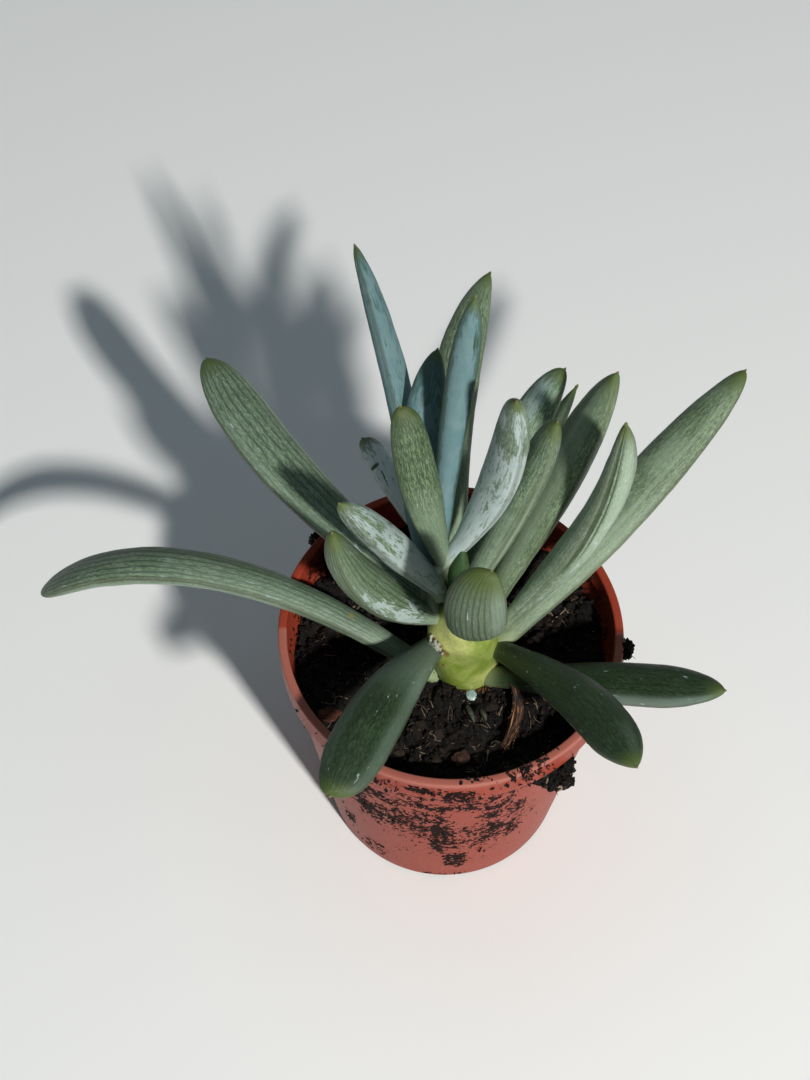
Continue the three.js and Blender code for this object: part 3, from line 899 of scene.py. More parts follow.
def leaf_table() -> tuple[Leaf, ...]:
    """All the leaves, from the outer ones to the young one in the heart."""
    return (
        Leaf("front_stub", -75, 101, 4.5, -68.5, 23, -48, 86.5, 0.8, 45.4, 14.2, 8.3, 0,
             0.5, 0.6, 2.5, 0.45, 0.29,
             skin=RIBBED, edge=0.0, marks=(
                 # Painted light: the pale patch by its left edge is a painted highlight on the side facing
                 # the light, and the dark patch by its right edge painted shade on the side turned away.
                 Patch(PALE, 0.75, 330, 0.3, 26, 0.6), Patch(BARE_AND_SHADE, 0.85, 208, 0.3, 22, 0.3))),
        Leaf("centre_waxy", 121, 104.5, 6.5, 29, 49, 7.5, 49, 0.95, 59, 11.8, 8, -10,
             0.28, 0.56, 2.35, 0.6, -0.25,
             skin=WAXY, marks=(
                 Patch(WAX, 0.3, 150, 0.42, 400, 1.3), Patch(WAX, 0.86, 78, 0.06, 28, 1.0),
                 Patch(WAX, 0.87, 168, 0.09, 30, 1.1), Patch(WAX, 0.7, 176, 0.1, 18, 0.5),
                 Patch(WAX, 0.45, 120, 0.14, 20, -0.6), Patch(WAX, 0.79, 120, 0.05, 300, -0.6))),
        Leaf("centre_upright", 117, 101, 5, 132.5, 57.5, -22, 9.5, 0.9, 47.5, 9.8, 8, 0,
             0.35, 0.57, 3, 0.44, 0.2,
             skin=FERN, marks=(
                 Patch(PALE, 0.2, 100, 0.32, 200, 0.75), Patch(BARE_AND_SHADE, 0.95, 90, 0.12, 80, 0.35),
                 Patch(SCAR, 0.34, 110, 0.008, 7, 0.8))),
        Leaf("right_inner", 59, 98, 4, 41.5, 54, -3, 18, 0.9, 52.7, 10.3, 8, -30,
             0.6, 0.69, 2.6, 0.56, -0.19,
             skin=MOTTLED, marks=(
                 Patch(PALE, 0.25, 130, 0.3, 80, 0.6), Patch(BARE_AND_SHADE, 0.84, 40, 0.13, 26, 0.7),
                 Patch(PALE, 0.55, 190, 0.42, 8, 1.0, -25), Patch(WINDOW, 0.45, 160, 0.2, 5, 0.7))),
        Leaf("inner_left_striped", 180, 88, 5, 187, 38.5, 1.5, 43, 1.2, 49.5, 12.5, 9, -5,
             0.26, 0.47, 2.2, 0.51, -0.24,
             skin=STRIPED, edge=0.25, marks=(
                 Patch(WAX, 0.36, 24, 0.3, 22, 0.42), Patch(WAX, 0.45, 46, 0.07, 26, 0.3),
                 Patch(WAX, 0.25, 55, 0.12, 46, 0.5), Patch(PALE, 0.05, 60, 0.1, 200, 0.6),
                 Patch(PALE, 0.45, 20, 0.35, 24, 0.4))),
        Leaf("inner_left_waxy", 141, 94.5, 4.5, 168, 55, 18, 3, 0.9, 45.4, 9.2, 8.5, 0,
             0.42, 0.54, 2.1, 0.69, 0.1,
             skin=SILVERED, edge=0.25, marks=(
                 Patch(WAX, 0.46, 40, 0.5, 400, 0.8), Patch(WAX, 0.8, 62, 0.09, 10, -0.8),
                 Patch(WAX, 0.67, 38, 0.09, 8, -0.8), Patch(WAX, 0.22, 90, 0.3, 120, 0.6),
                 Patch(WINDOW, 0.35, 42, 0.16, 4, 0.6), Patch(WINDOW, 0.68, 318, 0.2, 4, 0.6))),
        Leaf("right_grooved", -19, 90, 9.5, 33, 42.5, -41, 53.5, 0.9, 78.9, 11.4, 8.5, -40,
             0.23, 0.46, 2.45, 0.82, 0.03,
             skin=RIDGED, marks=(
                 Patch(WINDOW, 0.68, 196, 0.36, 7, 1.6), Patch(PALE, 0.62, 243, 0.38, 26, 0.95, 30),
                 Patch(WAX, 0.55, 238, 0.35, 16, 0.3, 30),
                 Patch(WINDOW, 0.68, 214, 0.3, 3, 1.2),
                 Patch(PALE, 0.6, 178, 0.4, 5, 0.7), Patch(PALE, 0.55, 120, 0.35, 40, 0.35))),
        Leaf("front_left", 205, 81, 8, 239, 34, 14, -30, 1, 58, 14.5, 9, 0, 0.45, 0.65, 3.1, 0.45, -0.2,
             skin=DARK, marks=(
                 # The second pale patch, by its left edge, is a painted highlight on the side facing the
                 # light.
                 Patch(PALE, 0.2, 75, 0.24, 90, 0.75), Patch(PALE, 0.6, 32, 0.42, 20, 0.6),
                 Patch(PALE, 0.5, 140, 0.4, 16, 0.35))),
        Leaf("front_right", -17, 79, 8, -50, 35, -25.5, -14, 1.8, 64.6, 12, 9, 10,
             0.42, 0.75, 2.5, 0.81, 0.13,
             # The pale patch near its tip, on the upper face by the left edge, is a painted highlight.
             skin=DARK, marks=(Patch(PALE, 0.9, 60, 0.08, 20, 0.3),)),
        Leaf("far_right", -10, 80, 8.5, 44, 21, -0.5, 4, 0.95, 90.1, 13.9, 8.5, -15,
             0.41, 0.47, 2.25, 0.52, 0.07,
             skin=OLIVE, marks=(
                 Patch(PALE, 0.68, 100, 0.07, 24, 0.8), Patch(PALE, 0.3, 140, 0.26, 90, 0.6),
                 Patch(PALE, 0.55, 128, 0.4, 6, 0.6), Patch(SCAR, 0.69, 138, 0.022, 8, 0.45))),
        Leaf("low_right", -45, 72, 9, -22, 32, -5, 4, 1, 67, 10.5, 8.5, 15, 0.5, 0.65, 2.5, 0.65, 0,
             # The pale strip by its right edge is a painted highlight on the side facing the light.
             skin=DARK, marks=(Patch(PALE, 0.7, 160, 0.5, 24, 1.3),)),
        Leaf("far_left", 203, 71, 10.5, 157, 29.5, 19.5, -83, 1.3, 115.3, 13.7, 8.5, 25,
             0.45, 0.84, 2.25, 0.72, -0.19,
             skin=LINED, marks=(
                 # Painted light: the dark strip on its upper face by the right edge is painted shade on the
                 # side turned away from the light, and the pale band by its left edge a painted highlight.
                 Patch(BARE_AND_SHADE, 0.6, 102, 0.38, 14, 0.6), Patch(PALE, 0.5, 322, 0.45, 20, 0.7),
                 Patch(SCAR, 0.203, 80, 0.01, 16, 0.9), Patch(PALE, 0.06, 30, 0.1, 200, 0.6),
                 Patch(PALE, 0.4, 30, 0.2, 40, 0.3))),
        Leaf("upper_left", 145, 88, 7, 146, 15, -34, -18, 1.4, 90, 14.5, 8.5, 10, 0.5, 0.65, 3, 0.5, 0.2,
             skin=LINED, marks=(
                 # Painted light: the pale band by its right edge is a painted highlight on the side facing
                 # the light, and the dark strip by its left edge painted shade on the side turned away.
                 Patch(PALE, 0.7, 166, 0.4, 18, 0.9), Patch(BARE_AND_SHADE, 0.6, 346, 0.45, 14, 0.6),
                 Patch(PALE, 0.5, 30, 0.3, 16, 0.4))),
        Leaf("back_waxy", 140, 100, 6, 91, 47, -23, 20, 0.9, 71, 7, 7, 0, 0.4, 0.75, 2.1, 0.7, 0.1,
             skin=TEAL, marks=(
                 Patch(WAX, 0.5, 100, 0.46, 46, 1.4), Patch(BARE_AND_SHADE, 0.6, 14, 0.5, 22, 0.8),
                 Patch(BARE_AND_SHADE, 0.7, 182, 0.4, 22, 0.35), Patch(WINDOW, 0.86, 128, 0.028, 2.5, 1.2),
                 Patch(WINDOW, 0.85, 137, 0.034, 2.5, 1.2), Patch(WINDOW, 0.855, 146, 0.024, 2.5, 1.2))),
        Leaf("back_shaded", 150, 97, 6, 111, 34, -43, 8, 1.1, 57.5, 10, 7, 10, 0.5, 0.6, 2.4, 0.6, 0.1,
             skin=TEAL, marks=(Patch(WAX, 0.4, 90, 0.45, 200, 0.9),)),
        Leaf("back_tallest", 95, 93, 6.5, 99, 26, -30, -23, 1.2, 84, 11.5, 8, -10,
             0.5, 0.65, 2.1, 0.75, -0.1,
             skin=OLIVE, marks=(Patch(PALE, 0.2, 120, 0.28, 200, 0.7), Patch(BARE_AND_SHADE, 0.8, 14, 0.3, 26, 0.4))),
        Leaf("back_left_tall", 168, 91, 7, 98.5, 36, 15.5, -12, 1.35, 89.6, 8.9, 6.6, 58,
             0.6, 0.62, 2.3, 0.66, 0.02,
             skin=TEAL, marks=(
                 Patch(WAX, 0.45, 60, 0.6, 400, 0.8), Patch(BARE_AND_SHADE, 0.88, 302, 0.14, 16, 1.2))),
        Leaf("back_left_small", 90, 90.5, 10, 126.5, 9, -8, -6, 1, 45.6, 6.8, 6.6, -6,
             0.5, 0.72, 3.3, 0.4, 0.2,
             skin=WHITENED, marks=(
                 Patch(WAX, 0.45, 60, 0.44, 400, 1.4), Patch(WINDOW, 0.795, 45, 0.01, 26, 1.4),
                 Patch(WINDOW, 0.7, 58, 0.06, 3.5, 1.2, 150))),
        Leaf("right_tall", 20, 91, 7.5, 53, 51, -15, 12, 0.9, 69, 14.7, 8.5, -30,
             0.37, 0.6, 2.55, 0.76, -0.03,
             skin=OLIVE, marks=(
                 Patch(PALE, 0.5, 112, 0.42, 28, 1.0), Patch(PALE, 0.65, 98, 0.3, 4, 0.6),
                 Patch(BARE_AND_SHADE, 0.85, 75, 0.14, 20, 0.4))),
        Leaf("back_right", 60, 95, 6, 79, 42, -35, -4, 1.1, 57, 11.5, 7.5, -20, 0.5, 0.65, 2.5, 0.5, -0.1,
             skin=DUSTED, marks=(
                 Patch(WAX, 0.7, 88, 0.3, 36, 0.75), Patch(BARE_AND_SHADE, 0.86, 18, 0.2, 18, 0.6),
                 Patch(SCAR, 0.973, 125, 0.012, 10, 0.7))),
        Leaf("back_right_small", 45, 91, 7, 72, 26, -18, 4, 1, 56, 6, 6, 0, 0.5,
             0.6, 1.8, 0.75, 0, skin=DARK),
        Leaf("heart", 129, 98, 2, 63.5, 74, 4, -10.5, 1, 13.6, 5, 4.5, 0, 0.64, 0.42, 1.6, 0.76, 0.18,
             skin=YOUNG, rings=50, sides=32),
    )


@dataclass
class Rosette:
    """The leaves round the stem."""

    leaves: tuple[Leaf, ...] = field(default_factory=leaf_table)

    def build(self) -> None:
        """Makes every leaf."""
        for number, leaf in enumerate(self.leaves):
            leaf.build(number + 1)


@dataclass(frozen=True)
class StemSkin(Finish):
    """Smooth yellow-green bark of a young stem, with brown scars."""

    green: str = "#7c9138"
    yellow: str = "#c6cb80"
    vein: str = "#6f8438"
    scar: str = "#8a5a34"
    foot: str = "#2c2418"

    def material(self, name: str) -> Material:
        """Makes the stem's material."""
        made, graph, shader = self.start(name, roughness=0.4, specular=0.4)
        place = graph.place()
        dirt, scars = graph.number(Mark.DIRT.value), graph.number(Mark.SCAR.value)
        fine = graph.mottle(place, 1.6, low=0.45, high=0.6)
        grime = graph.use(Effect.GRIME, place=place, painted=dirt, size=4.0, flatness=1.0).outputs["Grime"]
        worn = graph.use(Effect.GRIME, place=place, painted=scars, size=6.0, flatness=1.5).outputs["Grime"]
        yellowness = graph.plus(graph.times(graph.mottle(place, 0.25), 0.3), graph.number(Mark.PALE.value))
        graph.feed(shader.inputs["Base Color"], graph.layered(
            self.green,
            (yellowness, 1.0, self.yellow),
            (fine, 0.16, self.vein),
            (worn, 0.85, self.scar),
            (grime, 1.0, self.foot)))
        graph.feed(shader.inputs["Roughness"], graph.plus(graph.times(grime, 0.4), 0.4))
        self.bump(graph, shader, graph.minus(fine, worn), depth=0.1, strength=0.5)
        self.flesh(shader, weight=0.12, radius=(1.3, 1.5, 0.4))
        return made


@dataclass(frozen=True)
class BitFinish(Finish):
    """A plain finish for small bits: two colours, blotched, with a fine grain."""

    dark: str
    light: str
    roughness: float = 0.8
    grain: float = 2.0
    depth: float = 0.2

    def material(self, name: str) -> Material:
        """Makes the bits' material."""
        made, graph, shader = self.start(name, roughness=self.roughness, specular=0.35)
        place = graph.place()
        broad = graph.mottle(place, self.grain * 0.3)
        fine = graph.mottle(place, self.grain, low=0.4, high=0.65)
        blend = graph.blend(broad, 0.5, fine)
        graph.feed(shader.inputs["Base Color"], graph.mix(blend, self.dark, self.light))
        self.bump(graph, shader, fine, depth=self.depth, strength=0.7)
        return made


BALLS: dict[int, tuple[Array, list[tuple[int, ...]]]] = {}


def ball(detail: int) -> tuple[Array, list[tuple[int, ...]]]:
    """A ball of triangles.

    Args:
        detail: 1 for 20 faces, and each step more splits them in four.

    Returns:
        Its points on the unit sphere, and its faces.
    """
    if detail not in BALLS:
        grown = bmesh.new()
        bmesh.ops.create_icosphere(grown, subdivisions=detail, radius=1)
        BALLS[detail] = (np.array([v.co for v in grown.verts]),
                         [tuple(v.index for v in f.verts) for f in grown.faces])
        grown.free()
    return BALLS[detail]


@dataclass(frozen=True)
class Lump:
    """A rough lump of given full sizes; detail says how fine its faces are."""

    size: Triple
    detail: int = 2
    roughness: float = 0.3
    seed: int = 0

    def shape(self, centre: Array, turn: Triple = (0, 0, 0), tint: float = 0.0) -> Shape:
        """Builds the lump.

        Args:
            centre: its middle.
            turn: how far it is turned about each axis, in radians.
            tint: how brown or pale it is, from 0 to 1.

        Returns:
            The closed shape.
        """
        points, faces = ball(self.detail)
        bumps = 1 + self.roughness * rough_noise(points * 1.6 + self.seed * 3.7, self.seed,
                                                 min(self.detail, 4))
        points = points * bumps[:, None] * np.array(self.size) / 2
        points = points @ np.array(Euler(turn).to_matrix()).T + centre
        return Shape(points, faces).plain(tint)


NEARLY_UP = np.array([0.3, 0.2, 1.0])


def strand(route: Array, radii: Array, sides: int, tint: float = 0.0) -> Shape:
    """A thin closed strand along a route.

    Args:
        route: rows of points.
        radii: its radius at each point.
        sides: how many sides it has.
        tint: how brown or pale it is, from 0 to 1.

    Returns:
        The closed shape.
    """
    ahead = unit(np.gradient(route, axis=0))
    across = unit(np.cross(ahead, NEARLY_UP))
    angle = full_turn(sides)
    rings = round_line(route, across, np.cross(ahead, across), radii[:, None] * np.cos(angle),
                       radii[:, None] * np.sin(angle))
    caps = ahead * radii[:, None] * 0.5
    return Shape.skin(rings, route[0] - caps[0], route[-1] + caps[-1]).plain(tint)


@dataclass
class Stem:
    """The short leaning stem that carries the leaves.

    steps are its heights and radii, and bare_from is where its knobs begin. The callus is the scar where a
    leaf broke off. flake_spots say at what angle and height how many scale bits sit.
    """

    steps: tuple[Spot, ...] = (
        (48, 3), (51, 6.4), (58, 8), (66, 9.2), (72, 9.3), (80, 8.8), (85, 8.2), (89, 6.6),
        (93, 4.8), (97, 3.6), (101, 2.6), (103, 1.6))
    tip: float = 103.5
    knob: float = 0.35
    knob_twist: float = 0.35
    bare_from: tuple[float, float] = (58, 64)
    uneven: float = 0.28
    scar_depth: float = 0.12
    smoothing: int = 9
    callus_height: float = 84.9
    callus_turn: float = -141
    callus_crumbs: int = 34
    callus_crumb: Spread = Spread(0.5, 1.1)
    rind_bits: int = 24
    flake_spots: tuple[tuple[float, float, int], ...] = (
        (-62, 70.5, 16), (-90, 70.2, 8), (-150, 71, 8), (165, 74, 12), (-20, 71, 6))
    callus_seed: int = 3
    flake_seed: int = 12
    sides: int = 110
    rings: int = 150
    marks: tuple[Patch, ...] = (
        Patch(Mark.SCAR, 83.4, -125, 1.1, 10, 1.1), Patch(Mark.SCAR, 79.2, -125, 0.35, 2.6, 1.6),
        Patch(Mark.SCAR, 84.3, -142, 1.9, 16, 0.8), Patch(Mark.SCAR, 69.5, -62, 1.3, 22, 0.9),
        Patch(Mark.PALE, 88.5, -125, 6, 50, 0.85), Patch(Mark.PALE, 73, -50, 3, 35, 0.4),
        Patch(Mark.DIRT, 64, 0, 6.2, 400, 1.2))

    @staticmethod
    def axis(height: float) -> Array:
        """The stem's middle at a height: it stands straight in the peat and leans above it."""
        foot, collar, crown = (*STEM_FOOT, 48.0), (*STEM_FOOT, 66.0), (0.8, -1.5, 108.0)
        low, high = (foot, collar) if height < collar[2] else (collar, crown)
        part = (height - low[2]) / (high[2] - low[2])
        return np.array(low) * (1 - part) + np.array(high) * part

    def radius(self, height: float) -> float:
        """The stem's radius at a height."""
        return float(np.interp(height, [s[0] for s in self.steps], [s[1] for s in self.steps]))

    def on_bark(self, height: float, turn: float, out: float = 0.0) -> Array:
        """A point on the bark at a height and an angle in degrees, or out from it."""
        return self.axis(height) + circling(math.radians(turn), self.radius(height) + out)

    def body(self) -> None:
        """Makes the stem itself."""
        heights = np.linspace(self.steps[0][0], self.steps[-1][0], self.rings)
        radii = np.array([self.radius(h) for h in heights])
        kernel = np.hanning(self.smoothing)
        half = self.smoothing // 2
        radii[half:-half] = np.convolve(radii, kernel / kernel.sum(), mode="valid")
        angle = full_turn(self.sides)
        turn = np.degrees(angle)[None, :]
        tall = np.broadcast_to(heights[:, None], (self.rings, self.sides))
        middle = np.array([self.axis(h) for h in heights])
        bulge = self.knob * smooth_step(*self.bare_from, tall) * np.sin(3 * angle + tall * self.knob_twist)
        circle = np.stack([np.cos(angle), np.sin(angle), np.zeros_like(angle)], 1)
        reach = radii[:, None] + bulge
        flat = (middle[:, None] + reach[..., None] * circle).reshape(-1, 3)
        reach = reach + self.uneven * rough_noise(flat / 5, seed=31, layers=3).reshape(reach.shape)
        reach = reach - self.scar_depth * painted(self.marks, Mark.SCAR, tall, turn)
        shape = Shape.skin(middle[:, None] + reach[..., None] * circle, self.axis(self.steps[0][0]),
                           self.axis(self.tip))
        shape.paint["place"] = shape.points.copy()
        for mark in (Mark.PALE, Mark.SCAR, Mark.DIRT):
            values = painted(self.marks, mark, tall, turn)
            shape.paint[mark.value] = np.append(values.ravel(), [values[0, 0], values[-1, 0]])
        shape.piece("stem_body", "stem_skin", "stem", finish=StemSkin().material("stem_skin"))

    def callus(self) -> None:
        """Makes the dry white crumbs where a leaf once broke off, and the brown skin round them."""
        rng = np.random.default_rng(self.callus_seed)
        crumbs = []
        rind = []
        for i in range(self.callus_crumbs):
            lean = rng.normal(0, 1, 2)
            spot = self.on_bark(self.callus_height + lean[0] * 0.6, self.callus_turn + lean[1] * 5, out=0.6)
            lump = Lump(tuple(self.callus_crumb.draw(rng, 3)), detail=2, roughness=0.5, seed=i)
            crumbs.append(lump.shape(spot, tuple(rng.random(3) * 3)))
        for i in range(self.rind_bits):
            turn = 2 * math.pi * i / self.rind_bits
            height = self.callus_height - 0.2 + 1.4 * math.sin(turn)
            spot = self.on_bark(height, self.callus_turn + 12 * math.cos(turn), out=0.25)
            lump = Lump((1.0, 0.8, 0.6), detail=2, roughness=0.5, seed=i + 40)
            rind.append(lump.shape(spot, tuple(rng.random(3) * 3)))
        dry = BitFinish("#8f8f7c", "#c9cdbd", 0.7).material("callus_crumbs")
        brown = BitFinish("#5b3a20", "#a06a3a", 0.7).material("callus_rind")
        Shape.joined(crumbs).piece("stem_callus", "stem_skin", finish=dry)
        Shape.joined(rind).piece("stem_callus_rind", "stem_skin", finish=brown)

    def flakes(self) -> None:
        """Makes the brown scale bits at the stem's foot and beside the lowest leaves."""
        rng = np.random.default_rng(self.flake_seed)
        shapes = []
        for turn, height, count in self.flake_spots:
            for i in range(count):
                spot = self.on_bark(height + rng.normal(0, 0.5), turn + rng.normal(0, 6), 0.4 + rng.random())
                size = (1.0 + 1.2 * rng.random(), 0.7, 0.25)
                lump = Lump(size, detail=2, roughness=0.5, seed=i)
                shapes.append(lump.shape(spot, tuple(rng.random(3) * 6), rng.random()))
        finish = BitFinish("#3a2618", "#8a6236", 0.75).material("scale_bits")
        Shape.joined(shapes).piece("stem_scale_bits", "stem_skin", finish=finish)

    def build(self) -> None:
        """Makes the stem with its callus and its scale bits."""
        self.body()
        self.callus()
        self.flakes()


@dataclass(frozen=True)
class WitheredSkin(Finish):
    """Dry brown leaf skin with paler ridges along it."""

    dark: str = "#180e0a"
    brown: str = "#492b1b"
    ridge: str = "#b5845a"

    def material(self, name: str) -> Material:
        """Makes the dry skin's material."""
        made, graph, shader = self.start(name, roughness=0.6, specular=0.35)
        lines = graph.noise(graph.drawn_out(graph.place("leaf_round"), 14.0, 0.0), 3.0, detail=3.0, bend=0.4)
        graph.feed(shader.inputs["Base Color"], graph.layered(
            self.dark,
            (graph.mottle(graph.place(), 0.5), 1.0, self.brown),
            (graph.step(lines, 0.55, 0.68), 1.0, self.ridge)))
        self.bump(graph, shader, lines, depth=0.25, strength=0.8)
        return made


@dataclass
class WitheredLeaf:
    """The withered leaf that hangs from the stem and lies over the peat as a curled strip."""

    route: tuple[Triple, ...] = (
        (13.6, -9.8, 75.5), (15.8, -13, 76.5), (16.6, -17.5, 74.5), (15.4, -22.5, 72.8), (13.6, -27.5, 72.2))
    long: float = 22
    wide: float = 2.8
    thick: float = 0.9
    curl: float = 0.5
    end_share: float = 0.55
    swell_from: float = 0.15
    swell_to: float = 0.95
    frays: int = 46
    end_frays: int = 17
    seed: int = 17
    rings: int = 120
    sides: int = 40

    def middle_line(self, along: Array) -> Array:
        """Points of a smooth curve through the route, at places from 0 to 1."""
        route = np.array(self.route)
        padded = np.vstack([2 * route[0] - route[1], route, 2 * route[-1] - route[-2]])
        spot = along * (len(route) - 1)
        first = np.minimum(spot.astype(int), len(route) - 2)
        part = (spot - first)[:, None]
        a, b, c, d = (padded[first + i] for i in range(4))
        bend = (2 * a - 5 * b + 4 * c - d) * part ** 2 + (3 * b - a - 3 * c + d) * part ** 3
        return 0.5 * (2 * b + (c - a) * part + bend)

    def build(self) -> None:
        """Makes the strip, with its wrinkles and frayed end."""
        along = np.linspace(0, 1, self.rings)
        line = self.middle_line(along)
        ahead = unit(np.gradient(line, axis=0))
        across = unit(np.stack([-ahead[:, 1], ahead[:, 0], np.zeros(self.rings)], 1))
        swell = np.sin(np.pi * (self.swell_from + (self.swell_to - self.swell_from) * along))
        width = self.wide / 2 * (self.end_share + (1 - self.end_share) * swell)
        angle = full_turn(self.sides)
        turned = angle + self.curl * np.sin(2 * np.pi * along)[:, None]
        step = along[:, None]
        wrinkle = 0.16 * np.sin(5 * angle + 9 * step) + 0.1 * np.sin(9 * angle - 14 * step)
        fold = 0.35 * np.cos(turned) ** 2 * np.sin(7 * step)
        wide = width[:, None] * np.cos(turned) * (1 + 0.5 * wrinkle)
        thick = self.thick / 2 * np.sin(turned) * (1 + wrinkle) + fold
        rings = round_line(line, across, np.cross(ahead, across), wide, thick)
        shape = Shape.skin(rings, line[0] - ahead[0] * 0.3, line[-1] + ahead[-1] * 0.4)
        distance = np.repeat(along * self.long, self.sides)
        circle = np.stack([np.tile(np.cos(angle), self.rings), np.tile(np.sin(angle), self.rings),
                           distance], 1)
        shape.paint["leaf_round"] = np.vstack([circle, [[0, 0, 0], [0, 0, self.long]]])
        shape.paint["place"] = shape.points.copy()
        finish = WitheredSkin().material("withered_skin")
        shape.piece("withered_strip", "withered_skin", "withered_leaf", finish=finish)
        self.fray(line, across, finish)

    def fray(self, line: Array, across: Array, finish: Material) -> None:
        """Adds torn fibres along the strip's edges and past its end."""
        rng = np.random.default_rng(self.seed)
        shapes = []
        steps = np.linspace(0, 1, 8)
        for i in range(self.frays):
            at_end = i < self.end_frays
            first = self.rings - 10 if at_end else int(rng.integers(10, self.rings - 16))
            side = rng.uniform(-1, 1) * 0.9 if at_end else rng.choice((-1.25, 1.25))
            ahead = unit(line[min(first + 12, self.rings - 1)] - line[first])
            length = 1.5 + 2.5 * rng.random()
            spread = rng.normal(0, 0.25, 3)
            start = line[first] + across[first] * side
            route = start + np.outer(steps * length, ahead) + np.outer(steps ** 2 * length, spread)
            shapes.append(strand(route, 0.16 * (1.05 - steps), sides=5))
        shape = Shape.joined(shapes)
        shape.paint["leaf_round"] = shape.points.copy()
        shape.piece("withered_fibres", "withered_skin", finish=finish)


@dataclass(frozen=True)
class PeatFinish(Finish):
    """Nearly black peat with brown and grey bits."""

    dark: str = "#0d0c0d"
    brown: str = "#33271f"
    grey: str = "#5a5551"
    pale: str = "#9a8770"

    def material(self, name: str) -> Material:
        """Makes the peat's material."""
        made, graph, shader = self.start(name, roughness=0.9, specular=0.2)
        place = graph.place()
        tint = graph.number("tint")
        fine = graph.mottle(place, 3.0, low=0.52, high=0.7)
        graph.feed(shader.inputs["Base Color"], graph.layered(
            self.dark,
            (graph.mottle(place, 0.4, low=0.45, high=0.75), 0.4, self.brown),
            (graph.step(tint, 0.3, 0.75), 1.0, self.brown),
            (graph.step(tint, 0.75, 1.0), 1.0, self.pale),
            (fine, 0.45, self.grey)))
        self.bump(graph, shader, fine, depth=0.3, strength=0.8)
        return made


